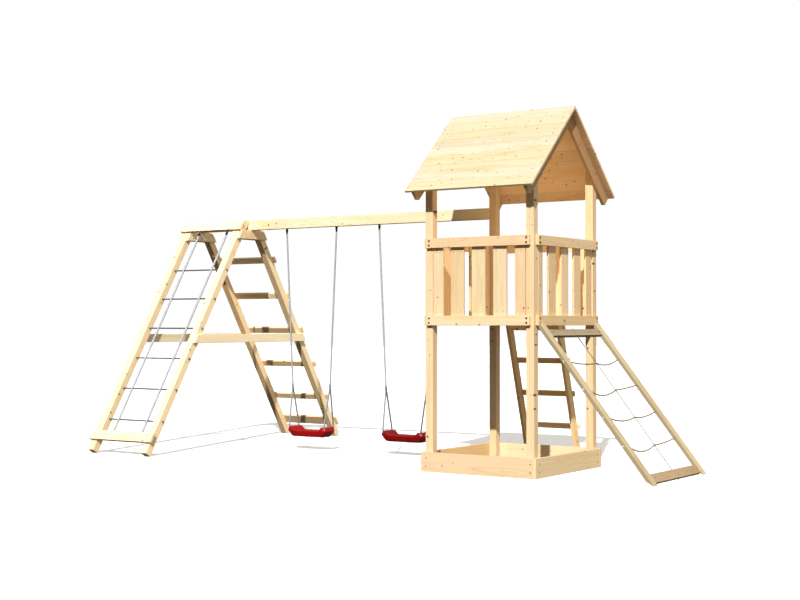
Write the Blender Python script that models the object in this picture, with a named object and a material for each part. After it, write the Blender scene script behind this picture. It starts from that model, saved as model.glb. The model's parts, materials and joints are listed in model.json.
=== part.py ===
"""Wooden play tower with a net ramp, a ladder, a climbing frame and two swings.

Metres, +Z up.  The origin is on the ground, in the middle of the whole object.
X runs along the swing beam: the climbing frame stands at -X, the tower at +X
and the net ramp beyond it.  Y is the depth: the tower's front faces -Y.
"""
import math

import bmesh
import bpy
from mathutils import Matrix, Vector

for old in list(bpy.data.objects):
    bpy.data.objects.remove(old, do_unlink=True)

# Sizes, in metres
GAP = 0.0003                # air between pieces that are screwed together
POST = 0.068                # square timber of the posts and of the climbing frame's legs
BOARD = 0.028               # thickness of every board
RAIL_H = 0.078              # height of a rail board

TOWER_W = 0.988             # tower over its posts, along X
TOWER_D = 1.078             # tower over its posts, along Y
PIT_H = 0.156               # height of the sandpit boards
DECK_RAIL_TOP = 1.249       # top edge of the deck rails
GUARD_TOP = 1.868           # top edge of the guard rails
RAIL_INSET = 0.026          # a rail's end to the post's outer corner
SLAT_T = 0.018              # thickness of the slats
SLAT_W = 0.120              # width of a whole slat
SLAT_INSET = 0.006          # a slat's end to the rail's far edge
EDGE_GAP = 0.006            # first slat to its post
FRONT_NARROW = 0.092        # outer slats of the front
SIDE_FIRST = 0.070          # first and last slats of a side
SIDE_LAST = 0.096
SIDE_LAST_GAP = 0.028       # last slat to its post
DOOR_W = 0.471              # doorway above the ladder, from its post to the first slat
REAR_LAST_GAP = 0.026
DECK_T = 0.018              # thickness of the deck boards
DECK_DROP = 0.014           # deck surface below the top of the deck rails
DECK_BOARDS = 8
JOIST_H = 0.040
JOIST_W = 0.045

RIDGE_Z = 2.920             # top of the roof
EAVE_Z = 2.243              # upper edge of the roof at the eave
EAVE_Y = 0.723              # eave to the middle of the tower
ROOF_X = 0.577              # verge to the middle of the tower
ROOF_T = 0.018              # thickness of the roof boards
ROOF_BOARDS = 9             # boards on each slope
ROOF_GROOVE = 0.004         # joint between two roof boards
RAFTER_H = 0.095            # depth of a rafter, across the slope
TAIL_DROP = 0.068           # level cut under a rafter's tail, below the eave

LADDER_LEFT = -0.388        # outer face of the left stringer, from the tower's middle
LADDER_W = 0.512            # ladder over its stringers
STRINGER_D = 0.078
LADDER_LEAN = math.radians(17.2)
RUNG_H = 0.045
RUNG_FIRST = 0.292          # middle of the lowest rung above the ground
RUNG_DROP = 0.024           # middle of the top rung below the deck rail
LADDER_RUNGS = 4
RUNG_OVER = 0.010           # rung end beyond the stringer

RAMP_W = 1.022              # ramp over its side rails
RAMP_RAIL_W = 0.078
RAMP_DROP = 0.053           # ramp's upper face below the top of the deck rail that it meets
RAMP_RUN = 0.943            # from the deck rail to the ramp's tip on the ground
TOP_CROSS_W = 0.060         # width of the ramp's cross boards
CROSS_W = 0.076
RAMP_CROSS_TOP = 0.070      # upper cross board, down the slope from the deck rail
RAMP_FOOT_GAP = 0.027       # lower cross board to the ramp's tip
RAMP_ROPE_FIRST = 0.370     # first cross rope, measured down the slope
RAMP_ROPE_STEP = 0.2622
RAMP_ROPES = 4
RAMP_ROPE_D = 0.010
RAMP_CORD_D = 0.006
RAMP_SAG = 0.028

BEAM_H = 0.095
BEAM_DROP = 0.154           # beam's underside below the eave
FOOT_HALF = 1.439           # beam's middle to a foot's outer edge
HEAD_HALF = 0.1035          # beam's middle to a leg's outer edge at the beam's top
FRAME_NEAR = 3.193          # tower's middle to the near frame's +X face
FRAME_GAP = 0.593           # clear width between the two frames
PLATE_H = 0.087             # head plates under the beam
CROSSBAR_Z = 1.005          # lower edge of the crossbars
OVER = 0.019                # boards and rungs beyond the legs
TOP_BOARD_DROP = 0.030      # top board to the leg's upper end, along the leg
LOW_BOARD_S = 0.095
WIDE_BOARD = 0.094
RUNG_W = 0.062
BACK_RUNG_FIRST = 0.446     # middle of the first back rung, along the leg
BACK_RUNG_STEP = 0.410
BACK_RUNGS = 5
NET_FIRST = 0.335           # first cross rope, along the leg
NET_STEP = 0.3286
NET_ROPES = 6
NET_CROSS_D = 0.010
NET_LONG_D = 0.014
NET_LONG_SPACING = 0.356

SWING_ONE = 2.454           # tower's middle to the far swing's middle
SWING_TWO = 1.379           # tower's middle to the near swing's middle
HANG_SPACING = 0.588        # between a swing's two hooks
PIN_DROP = 0.026            # hook pin below the beam
PIN_R = 0.004
EYE_R = 0.010
EYE_W = 0.010
ROPE_D = 0.012
STRAND_D = 0.008
SPLIT_Z = 0.590             # where a swing rope splits in two
SPLIT_SPACING = 0.440
SEAT_L = 0.483
SEAT_D = 0.180
SEAT_BOTTOM = 0.124
SEAT_MID = 0.058            # height of the seat in its middle
SEAT_WING = 0.092           # height of its raised ends
SEAT_WALL = 0.005
SEAT_HOLE_END = 0.0365      # rope holes to the seat's end and to its long edge
SEAT_HOLE_EDGE = 0.020

# Sizes that follow
LEFT_END = FRAME_NEAR + 2 * POST + FRAME_GAP + BOARD
RIGHT_END = TOWER_W / 2 + BOARD + RAMP_RUN
TX = (LEFT_END - RIGHT_END) / 2             # tower's middle, from the origin
TY = -(TOWER_D / 2 - POST / 2)              # the beam is in line with the rear posts
HX = TOWER_W / 2
HY = TOWER_D / 2
BEAM_BOTTOM = EAVE_Z - BEAM_DROP
BEAM_TOP = BEAM_BOTTOM + BEAM_H
GUARD_LOW = GUARD_TOP - RAIL_H
DECK_LOW = DECK_RAIL_TOP - RAIL_H
DECK_Z = DECK_RAIL_TOP - DECK_DROP
RUNG_STEP = (DECK_LOW - RUNG_DROP - RUNG_FIRST) / (LADDER_RUNGS - 1)
TAIL_CUT_Z = EAVE_Z - TAIL_DROP
ROOF_SLOPE = math.atan2(RIDGE_Z - EAVE_Z, EAVE_Y)
NEAR_X = TX - FRAME_NEAR                    # +X face of the near frame
FAR_X = NEAR_X - POST - FRAME_GAP           # +X face of the far frame
RAMP_X = TX + HX + BOARD
RAMP_TOP_Z = DECK_RAIL_TOP - RAMP_DROP
RAMP_SLOPE = math.atan2(RAMP_TOP_Z, RAMP_RUN)
PIN_Z = BEAM_BOTTOM - PIN_DROP
SEAT_HOLE_X = SEAT_L / 2 - SEAT_HOLE_END
SEAT_HOLE_Y = SEAT_D / 2 - SEAT_HOLE_EDGE
LEAN = 0.5                  # climbing frame's legs from upright, solved from their foot and head
for attempt in range(40):
    LEAN = math.atan2(FOOT_HALF - HEAD_HALF, BEAM_TOP - POST * math.sin(LEAN))


def material(name, colour, roughness, metallic=0.0):
    mat = bpy.data.materials.new(name)
    mat.use_nodes = True
    node = mat.node_tree.nodes["Principled BSDF"]
    node.inputs["Base Color"].default_value = (*colour, 1.0)
    node.inputs["Roughness"].default_value = roughness
    node.inputs["Metallic"].default_value = metallic
    return mat


WOOD = material("spruce", (0.80, 0.62, 0.38), 0.6)
WOOD_RAMP = material("spruce_ramp", (0.62, 0.50, 0.30), 0.62)
WOOD_ROOF = material("spruce_roof", (0.86, 0.76, 0.50), 0.6)
ROPE = material("white_rope", (0.72, 0.72, 0.68), 0.85)
ROPE_GREY = material("grey_rope", (0.30, 0.30, 0.28), 0.85)
STEEL = material("dark_steel", (0.12, 0.12, 0.12), 0.4, 1.0)
RED = material("red_plastic", (0.62, 0.02, 0.02), 0.25)


def make(name, mesh_data, mat):
    """New object from a bmesh, with its faces turned outwards."""
    bmesh.ops.remove_doubles(mesh_data, verts=mesh_data.verts, dist=1e-6)
    bmesh.ops.recalc_face_normals(mesh_data, faces=mesh_data.faces)
    mesh = bpy.data.meshes.new(name)
    mesh_data.to_mesh(mesh)
    mesh_data.free()
    mesh.materials.append(mat)
    obj = bpy.data.objects.new(name, mesh)
    bpy.context.collection.objects.link(obj)
    return obj


def add_prism(bm, outline, axis, low, high):
    """Extrude an outline along an axis: 'x' takes (y, z), 'y' takes (x, z), 'z' takes (x, y)."""
    def at(point, depth):
        a, b = point
        if axis == "x":
            return Vector((depth, a, b))
        if axis == "y":
            return Vector((a, depth, b))
        return Vector((a, b, depth))

    first = [bm.verts.new(at(p, low)) for p in outline]
    last = [bm.verts.new(at(p, high)) for p in outline]
    bm.faces.new(first)
    bm.faces.new(list(reversed(last)))
    count = len(outline)
    for i in range(count):
        j = (i + 1) % count
        bm.faces.new((first[i], last[i], last[j], first[j]))


def prism(name, outline, axis, low, high, mat):
    bm = bmesh.new()
    add_prism(bm, outline, axis, low, high)
    return make(name, bm, mat)


def box(name, low, high, mat):
    outline = [(low[0], low[1]), (high[0], low[1]), (high[0], high[1]), (low[0], high[1])]
    return prism(name, outline, "z", low[2], high[2], mat)


def hidden(obj):
    obj.hide_render = True
    obj.display_type = "WIRE"
    return obj


def boolean(obj, other, operation):
    mod = obj.modifiers.new(operation.lower(), "BOOLEAN")
    mod.operation = operation
    mod.solver = "EXACT"
    mod.object = hidden(other)


def frame_along(tangent, hint):
    side = tangent.cross(hint)
    if side.length < 1e-4:
        side = tangent.cross(Vector((0.37, 0.61, 0.7)))
    side.normalize()
    return side, side.cross(tangent).normalized()


def add_tube(bm, points, radius, sides=8, bulges=()):
    """Round tube through the points; bulges are (index, radius) for knots."""
    radii = {i: r for i, r in bulges}
    hint = Vector((0.21, 0.13, 0.97))
    rings = []
    count = len(points)
    for i, point in enumerate(points):
        before = points[max(i - 1, 0)]
        after = points[min(i + 1, count - 1)]
        tangent = (after - before).normalized()
        side, up = frame_along(tangent, hint)
        r = radii.get(i, radius)
        ring = []
        for k in range(sides):
            angle = 2 * math.pi * k / sides
            ring.append(bm.verts.new(point + side * (r * math.cos(angle)) + up * (r * math.sin(angle))))
        rings.append(ring)
    for a, b in zip(rings, rings[1:]):
        for k in range(sides):
            m = (k + 1) % sides
            bm.faces.new((a[k], a[m], b[m], b[k]))
    bm.faces.new(list(reversed(rings[0])))
    bm.faces.new(rings[-1])


def tube(name, points, radius, mat, sides=8, bulges=()):
    bm = bmesh.new()
    add_tube(bm, points, radius, sides, bulges)
    return make(name, bm, mat)


def rod(name, start, end, radius, mat, sides=12):
    return tube(name, [Vector(start), Vector(end)], radius, mat, sides)


def with_knots(start, end, knot, radius):
    """Straight rope from start to end with a round knot at both ends."""
    axis = (end - start).normalized()
    points = []
    bulges = []
    for base, sign in ((start, -1.0), (end, 1.0)):
        cluster = []
        for step, r in ((0.0, radius), (0.12, knot * 0.8), (0.5, knot), (0.88, knot * 0.8), (1.0, radius)):
            cluster.append((base + axis * (sign * step * 2 * knot), r))
        if sign < 0:
            cluster.reverse()
        for point, r in cluster:
            bulges.append((len(points), r))
            points.append(point)
    return points, bulges


# Tower: posts, cut to the slope of the roof at the top
def roof_under(y):
    """Height of the roof boards' underside at a distance from the tower's middle."""
    return RIDGE_Z - abs(y) * math.tan(ROOF_SLOPE) - ROOF_T / math.cos(ROOF_SLOPE)


POST_PLACES = {
    "post_front_left": (-1, -1),
    "post_front_right": (1, -1),
    "post_rear_right": (1, 1),
    "post_rear_left": (-1, 1),
}
for post_name, (sx, sy) in POST_PLACES.items():
    outer = HY * sy
    inner = (HY - POST) * sy
    y_low, y_high = sorted((outer, inner))
    clear = 0.001
    outline = [
        (TY + y_low, 0.0),
        (TY + y_high, 0.0),
        (TY + y_high, roof_under(y_high) - clear),
        (TY + y_low, roof_under(y_low) - clear),
    ]
    x_low, x_high = sorted((HX * sx, (HX - POST) * sx))
    prism(post_name, outline, "x", TX + x_low, TX + x_high, WOOD)

# Sandpit: four boards round the posts, each running past the next
IN_X = HX + GAP
IN_Y = HY + GAP
OUT_X = HX + BOARD
OUT_Y = HY + BOARD
box("sandpit_board_front", (TX - OUT_X, TY - OUT_Y, 0), (TX + IN_X - 2 * GAP, TY - IN_Y, PIT_H), WOOD)
box("sandpit_board_right", (TX + IN_X, TY - OUT_Y, 0), (TX + OUT_X, TY + IN_Y - 2 * GAP, PIT_H), WOOD)
box("sandpit_board_rear", (TX - IN_X + 2 * GAP, TY + IN_Y, 0), (TX + OUT_X, TY + OUT_Y, PIT_H), WOOD)
box("sandpit_board_left", (TX - OUT_X, TY - IN_Y + 2 * GAP, 0), (TX - IN_X, TY + OUT_Y, PIT_H), WOOD)


# Side panels: two rails outside the posts, with slats behind them
def slats_between(low, widths, gaps):
    """Slat edges from low upwards, from their widths and the gaps after them."""
    edges = []
    at = low
    for width, gap in zip(widths, gaps):
        edges.append((at, at + width))
        at += width + gap
    return edges


FRONT_CLEAR = TOWER_W - 2 * POST
SIDE_CLEAR = TOWER_D - 2 * POST
FRONT_GAP = (FRONT_CLEAR - 2 * EDGE_GAP - 2 * FRONT_NARROW - 3 * SLAT_W) / 4
FRONT_SLATS = slats_between(-FRONT_CLEAR / 2 + EDGE_GAP,
                            (FRONT_NARROW, SLAT_W, SLAT_W, SLAT_W, FRONT_NARROW), (FRONT_GAP,) * 5)
SIDE_GAP = (SIDE_CLEAR - EDGE_GAP - SIDE_FIRST - 3 * SLAT_W - SIDE_LAST - SIDE_LAST_GAP) / 4
SIDE_SLATS = slats_between(-SIDE_CLEAR / 2 + EDGE_GAP,
                           (SIDE_FIRST, SLAT_W, SLAT_W, SLAT_W, SIDE_LAST), (SIDE_GAP,) * 5)
REAR_GAP = FRONT_CLEAR - DOOR_W - 2 * SLAT_W - REAR_LAST_GAP
REAR_SLATS = slats_between(-FRONT_CLEAR / 2 + DOOR_W, (SLAT_W, SLAT_W), (REAR_GAP,) * 2)
JOIN = 0.0008               # slats and rails of one panel share this much, as one solid


def panel(name, face, sign, slats):
    """Panel on one side; face 'y' lies across Y and its slats are spread along X."""
    half = (HX if face == "y" else HY) - RAIL_INSET
    near = (HY if face == "y" else HX) + GAP
    centre = (TX, TY) if face == "y" else (TY, TX)

    def piece(label, along, depth, z):
        d_low, d_high = sorted((depth[0] * sign, depth[1] * sign))
        a_low, a_high = centre[0] + along[0], centre[0] + along[1]
        d_low, d_high = centre[1] + d_low, centre[1] + d_high
        if face == "y":
            return box(label, (a_low, d_low, z[0]), (a_high, d_high, z[1]), WOOD)
        return box(label, (d_low, a_low, z[0]), (d_high, a_high, z[1]), WOOD)

    obj = piece(name, (-half, half), (near, near + BOARD - GAP), (GUARD_LOW, GUARD_TOP))
    deck = piece(name + "_deck_rail", (-half, half), (near, near + BOARD - GAP), (DECK_LOW, DECK_RAIL_TOP))
    boolean(obj, deck, "UNION")
    for i, (a, b) in enumerate(slats):
        slat = piece(name + "_slat_%d" % (i + 1), (a, b), (near + JOIN, near - SLAT_T),
                     (DECK_LOW + SLAT_INSET, GUARD_TOP - SLAT_INSET))
        boolean(obj, slat, "UNION")
    return obj


panel("panel_front", "y", -1, FRONT_SLATS)
panel("panel_right", "x", 1, SIDE_SLATS)
panel("panel_rear", "y", 1, REAR_SLATS)
panel("panel_left", "x", -1, SIDE_SLATS)

# Deck: joists between the posts, and boards across them
inner_y = HY - SLAT_T - 2 * GAP
inner_x = HX - SLAT_T - 2 * GAP
joist_top = DECK_Z - DECK_T
joist_low = joist_top - JOIST_H
post_in_y = HY - POST - GAP
post_in_x = HX - POST - GAP
frame_bm = bmesh.new()
frame_outer = [(-inner_x, -post_in_y), (inner_x, -post_in_y), (inner_x, post_in_y), (-inner_x, post_in_y)]
add_prism(frame_bm, [(TX + a, TY + b) for a, b in frame_outer], "z", joist_low, joist_top - GAP)
deck_frame = make("deck_frame", frame_bm, WOOD)
for side in (-1, 1):
    bay_low = JOIST_W / 2 if side > 0 else -(post_in_y - JOIST_W)
    bay_high = post_in_y - JOIST_W if side > 0 else -JOIST_W / 2
    hole = box("deck_frame_bay_%d" % side, (TX - inner_x + JOIST_W, TY + bay_low, joist_low - 0.05),
               (TX + inner_x - JOIST_W, TY + bay_high, joist_top + 0.05), WOOD)
    boolean(deck_frame, hole, "DIFFERENCE")

deck_outline = [
    (-post_in_x, -inner_y), (post_in_x, -inner_y), (post_in_x, -post_in_y), (inner_x, -post_in_y),
    (inner_x, post_in_y), (post_in_x, post_in_y), (post_in_x, inner_y), (-post_in_x, inner_y),
    (-post_in_x, post_in_y), (-inner_x, post_in_y), (-inner_x, -post_in_y), (-post_in_x, -post_in_y),
]
deck = prism("deck_boards", [(TX + a, TY + b) for a, b in deck_outline], "z", joist_top, DECK_Z, WOOD)
deck_groove = 0.005
for i in range(1, DECK_BOARDS):
    gy = TY - inner_y + 2 * inner_y * i / DECK_BOARDS
    groove = box("deck_groove_%d" % i, (TX - HX, gy - deck_groove / 2, DECK_Z - 0.012),
                 (TX + HX, gy + deck_groove / 2, DECK_Z + 0.02), WOOD)
    boolean(deck, groove, "DIFFERENCE")

# Roof: boards along X on both slopes, on a pair of rafters at each side
SLOPE_LEN = math.hypot(EAVE_Y, RIDGE_Z - EAVE_Z)
down = Vector((0, math.cos(ROOF_SLOPE), -math.sin(ROOF_SLOPE)))
inward = Vector((0, -math.sin(ROOF_SLOPE), -math.cos(ROOF_SLOPE)))


def slope_point(s, depth, side):
    """Point on a slope: s down from the ridge, depth below its surface."""
    p = down * s + inward * depth
    return (TY + side * p.y, RIDGE_Z + p.z)


def roof_outline(side):
    start = GAP / math.cos(ROOF_SLOPE)
    points = [slope_point(start, 0, side)]
    for i in range(1, ROOF_BOARDS):
        s = SLOPE_LEN * i / ROOF_BOARDS
        half = ROOF_GROOVE / 2
        points.append(slope_point(s - half, 0, side))
        points.append(slope_point(s, ROOF_GROOVE * 1.2, side))
        points.append(slope_point(s + half, 0, side))
    points.append(slope_point(SLOPE_LEN, 0, side))
    points.append(slope_point(SLOPE_LEN, ROOF_T, side))
    points.append((TY + side * GAP, RIDGE_Z - ROOF_T / math.cos(ROOF_SLOPE) - GAP * math.tan(ROOF_SLOPE)))
    return points


for roof_name, side in (("roof_front", -1), ("roof_rear", 1)):
    prism(roof_name, roof_outline(side), "x", TX - ROOF_X, TX + ROOF_X, WOOD_ROOF)


def rafter_outline():
    """Both rafters of one gable, joined at the ridge."""
    top = ROOF_T + GAP
    low = top + RAFTER_H
    tail = SLOPE_LEN - 0.004
    front_out = slope_point(tail, top, -1)
    rear_out = slope_point(tail, top, 1)
    # where the tail's square end meets the level cut, and where the cut meets the lower edge
    end_top = slope_point(tail, top, 1)
    drop = (end_top[1] - TAIL_CUT_Z) / math.cos(ROOF_SLOPE)
    square = slope_point(tail, top + drop, 1)
    low_point = slope_point(0, low, 1)
    reach = (low_point[1] - TAIL_CUT_Z) / math.sin(ROOF_SLOPE)
    flat = slope_point(reach, low, 1)
    apex_top = RIDGE_Z - top / math.cos(ROOF_SLOPE)
    apex_low = RIDGE_Z - low / math.cos(ROOF_SLOPE)
    rear = [rear_out, square, flat]
    front = [(2 * TY - y, z) for y, z in rear]
    return [(TY, apex_top)] + rear + [(TY, apex_low)] + list(reversed(front))


prism("rafters_left", rafter_outline(), "x", TX - HX - BOARD, TX - HX - GAP, WOOD)
prism("rafters_right", rafter_outline(), "x", TX + HX + GAP, TX + HX + BOARD, WOOD)

# Ladder behind the tower
lad_face = TY + HY + BOARD + GAP
lad_top = DECK_RAIL_TOP
lad_tan = math.tan(LADDER_LEAN)


def ladder_front(z):
    """Y of the stringers' front edge, which leaves the rear rail at its lower edge."""
    return lad_face + max(0.0, (DECK_LOW - z) * lad_tan)


stringer_deep = STRINGER_D / math.cos(LADDER_LEAN)


def stringer_outline():
    rear_top = lad_face + stringer_deep - (lad_top - DECK_LOW) * lad_tan
    return [
        (lad_face, lad_top), (rear_top, lad_top),
        (ladder_front(0) + stringer_deep, 0.0), (ladder_front(0), 0.0),
        (lad_face, DECK_LOW),
    ]


LAD_X = TX + LADDER_LEFT
prism("ladder_stringer_left", stringer_outline(), "x", LAD_X, LAD_X + BOARD, WOOD)
prism("ladder_stringer_right", stringer_outline(), "x", LAD_X + LADDER_W - BOARD, LAD_X + LADDER_W, WOOD)
along_lad = Vector((0, -math.sin(LADDER_LEAN), math.cos(LADDER_LEAN)))
out_lad = Vector((0, math.cos(LADDER_LEAN), math.sin(LADDER_LEAN)))
for i in range(LADDER_RUNGS):
    zc = RUNG_FIRST + RUNG_STEP * i
    base = Vector((0, ladder_front(0) + stringer_deep - zc * lad_tan, zc)) + out_lad * GAP
    corners = []
    for a, b in ((-1, 0), (1, 0), (1, 1), (-1, 1)):
        p = base + along_lad * (a * RUNG_H / 2) + out_lad * (b * (BOARD - GAP))
        corners.append((p.y, p.z))
    prism("ladder_rung_%d" % (i + 1), corners, "x", LAD_X - RUNG_OVER, LAD_X + LADDER_W + RUNG_OVER, WOOD)

# Net ramp on the +X side
ramp_dir = Vector((math.cos(RAMP_SLOPE), 0, -math.sin(RAMP_SLOPE)))
ramp_out = Vector((math.sin(RAMP_SLOPE), 0, math.cos(RAMP_SLOPE)))
ramp_head = Vector((RAMP_X, 0, RAMP_TOP_Z))
RAMP_LEN = math.hypot(RAMP_RUN, RAMP_TOP_Z)


def ramp_point(t, depth, y=0.0):
    """Point at t down the slope and depth below the ramp's upper face."""
    p = ramp_head + ramp_dir * t - ramp_out * depth
    return Vector((p.x, TY + y, p.z))


RAMP_BEVEL = math.radians(27)


def ramp_rail_outline():
    plumb = RAMP_X + GAP
    tip = ramp_point(RAMP_LEN, 0)
    # the tip's end cut rises towards the tower more gently than the slope itself
    turn = RAMP_SLOPE - RAMP_BEVEL
    back = BOARD / math.sin(turn)
    low_end = Vector((tip.x - back * math.cos(RAMP_BEVEL), 0, tip.z + back * math.sin(RAMP_BEVEL)))
    slope = math.tan(RAMP_SLOPE)
    top_z = RAMP_TOP_Z - GAP * slope
    under_z = top_z - BOARD / math.cos(RAMP_SLOPE)
    return [(plumb, top_z), (plumb, under_z), (low_end.x, low_end.z), (tip.x, tip.z)]


rope_ts = [RAMP_ROPE_FIRST + RAMP_ROPE_STEP * i for i in range(RAMP_ROPES)]
half_ramp = RAMP_W / 2
for rail_name, sign in (("ramp_rail_front", -1), ("ramp_rail_rear", 1)):
    y_pair = sorted((sign * half_ramp, sign * (half_ramp - RAMP_RAIL_W)))
    rail = prism(rail_name, ramp_rail_outline(), "y", TY + y_pair[0], TY + y_pair[1], WOOD_RAMP)
    for i, t in enumerate(rope_ts):
        hole = rod(rail_name + "_hole_%d" % (i + 1), ramp_point(t, BOARD / 2, y_pair[0] - 0.02),
                   ramp_point(t, BOARD / 2, y_pair[1] + 0.02), RAMP_ROPE_D / 2 + 0.0008, WOOD_RAMP)
        boolean(rail, hole, "DIFFERENCE")

cross_half = half_ramp - RAMP_RAIL_W - GAP
RAMP_CROSS_LOW = RAMP_LEN - RAMP_FOOT_GAP - CROSS_W
for cross_name, t0, width in (("ramp_board_top", RAMP_CROSS_TOP, TOP_CROSS_W),
                              ("ramp_board_bottom", RAMP_CROSS_LOW, CROSS_W)):
    quad = [ramp_point(t0, 0), ramp_point(t0 + width, 0), ramp_point(t0 + width, BOARD), ramp_point(t0, BOARD)]
    board = prism(cross_name, [(p.x, p.z) for p in quad], "y", TY - cross_half, TY + cross_half, WOOD_RAMP)
    hole = rod(cross_name + "_hole", ramp_point(t0 - 0.03, BOARD / 2), ramp_point(t0 + width + 0.03, BOARD / 2),
               RAMP_CORD_D / 2 + 0.0008, WOOD_RAMP)
    boolean(board, hole, "DIFFERENCE")


def ramp_rope_path(t):
    """One cross rope: knot, rail, sag, middle knot, sag, rail, knot."""
    r = RAMP_ROPE_D / 2
    knot = 0.011
    inner = half_ramp - RAMP_RAIL_W
    run = [(half_ramp + 0.001 + 2 * knot, r), (half_ramp + 0.001 + 1.7 * knot, knot * 0.8),
           (half_ramp + 0.001 + knot, knot), (half_ramp + 0.001 + 0.3 * knot, knot * 0.8),
           (half_ramp + 0.0005, r), (inner, r)]
    points = []
    radii = []
    for y, radius in run:
        points.append(ramp_point(t, BOARD / 2, -y))
        radii.append(radius)
    steps = 7
    for i in range(1, steps):
        u = i / steps
        y = -inner * (1 - u)
        lift = 0.018 * (3 * u * u - 2 * u ** 3)
        sag = RAMP_SAG * 4 * u * (1 - u)
        points.append(ramp_point(t, BOARD / 2, y) + Vector((0, 0, lift - sag)))
        radii.append(r)
    middle = ramp_point(t, BOARD / 2, 0) + Vector((0, 0, 0.018))
    left = list(zip(points, radii))
    knots = [(middle + Vector((0, -0.009, 0)), 0.008), (middle, 0.011), (middle + Vector((0, 0.009, 0)), 0.008)]
    right = [(Vector((p.x, 2 * TY - p.y, p.z)), radius) for p, radius in reversed(left)]
    return left + knots + right


net = None
for i, t in enumerate(rope_ts):
    path = ramp_rope_path(t)
    rope = tube("ramp_net" if net is None else "ramp_net_rope_%d" % (i + 1), [p for p, r in path],
                RAMP_ROPE_D / 2, ROPE_GREY, 8, [(k, r) for k, (p, r) in enumerate(path)])
    if net is None:
        net = rope
    else:
        boolean(net, rope, "UNION")
cord_points = []
cord_bulges = []
knot_r = 0.006
for t_end, sign in ((RAMP_CROSS_TOP - 0.001, -1), (RAMP_CROSS_LOW + CROSS_W + 0.001, 1)):
    cluster = [(0.0, RAMP_CORD_D / 2), (0.3, knot_r * 0.8), (1.0, knot_r), (1.7, knot_r * 0.8), (2.0, RAMP_CORD_D / 2)]
    if sign < 0:
        cluster.reverse()
    for step, r in cluster:
        cord_bulges.append((len(cord_points), r))
        cord_points.append(ramp_point(t_end + sign * step * knot_r, BOARD / 2))
    if sign < 0:
        cord_points.append(ramp_point(RAMP_CROSS_TOP + TOP_CROSS_W + 0.010, BOARD / 2))
        for t in rope_ts:
            cord_points.append(ramp_point(t, BOARD / 2) + Vector((0, 0, 0.018)))
        cord_points.append(ramp_point(RAMP_CROSS_LOW - 0.010, BOARD / 2))
boolean(net, tube("ramp_net_cord", cord_points, RAMP_CORD_D / 2, ROPE_GREY, 8, cord_bulges), "UNION")

# Swing beam, in line with the rear posts
box("swing_beam", (FAR_X - POST - OVER, -POST / 2, BEAM_BOTTOM), (TX - HX - GAP, POST / 2, BEAM_TOP), WOOD)

# Climbing frame: two A-frames of sloping legs
leg_cos = math.cos(LEAN)
leg_sin = math.sin(LEAN)
foot_rise = POST * leg_sin
LEG_LEN = (BEAM_TOP - foot_rise) / leg_cos   # along a leg's outer face
TOP_BOARD_S = LEG_LEN - TOP_BOARD_DROP - WIDE_BOARD


def leg_point(s, depth, side):
    """Point of a leg in the Y-Z plane: s up along it, depth in from its outer face."""
    y = -FOOT_HALF + s * leg_sin + depth * leg_cos
    z = foot_rise + s * leg_cos - depth * leg_sin
    return (-side * y if side > 0 else y, z)


def leg_outer(z, side=-1):
    y = -FOOT_HALF + (z - foot_rise) * math.tan(LEAN)
    return -y if side > 0 else y


def leg_outline(side):
    stop = POST / 2 + GAP
    rear_at_top = leg_outer(BEAM_TOP) + POST / leg_cos
    touch_z = BEAM_TOP - (rear_at_top + stop) / math.tan(LEAN)
    points = [
        (-FOOT_HALF, foot_rise),
        (-FOOT_HALF + POST * leg_cos, 0.0),
        (-stop, touch_z),
        (-stop, BEAM_TOP),
        (leg_outer(BEAM_TOP), BEAM_TOP),
    ]
    return [(-side * y if side > 0 else y, z) for y, z in points]


net_ss = [NET_FIRST + NET_STEP * i for i in range(NET_ROPES)]
LEG_PLANES = {"near": NEAR_X, "far": FAR_X}
for label, x_face in LEG_PLANES.items():
    for end_name, side in (("front", -1), ("back", 1)):
        leg = prism("leg_%s_%s" % (label, end_name), leg_outline(side), "x", x_face - POST, x_face, WOOD)
        if side < 0:
            for i, s in enumerate(net_ss):
                y, z = leg_point(s, POST / 2, -1)
                hole = rod("leg_%s_hole_%d" % (label, i + 1), (x_face - POST - 0.02, y, z),
                           (x_face + 0.02, y, z), NET_CROSS_D / 2 + 0.0008, WOOD)
                boolean(leg, hole, "DIFFERENCE")


def across_outline(z_low, z_high):
    """Board from leg to leg, with its ends cut along the legs' outer faces."""
    return [(leg_outer(z_low), z_low), (leg_outer(z_low, 1), z_low),
            (leg_outer(z_high, 1), z_high), (leg_outer(z_high), z_high)]


bar = across_outline(CROSSBAR_Z, CROSSBAR_Z + RAIL_H)
prism("crossbar_near", bar, "x", NEAR_X + GAP, NEAR_X + BOARD, WOOD)
prism("crossbar_far", bar, "x", FAR_X - POST - BOARD, FAR_X - POST - GAP, WOOD)
head = across_outline(BEAM_BOTTOM - GAP - PLATE_H, BEAM_BOTTOM - GAP)
for label, x_face in LEG_PLANES.items():
    prism("head_plate_%s_outer" % label, head, "x", x_face + GAP, x_face + BOARD, WOOD)
    prism("head_plate_%s_inner" % label, head, "x", x_face - POST - BOARD, x_face - POST - GAP, WOOD)


def board_on_legs(name, s_low, s_high, side):
    corners = [leg_point(s_low, -GAP, side), leg_point(s_high, -GAP, side),
               leg_point(s_high, -BOARD, side), leg_point(s_low, -BOARD, side)]
    return prism(name, corners, "x", FAR_X - POST - OVER, NEAR_X + OVER, WOOD)


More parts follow.
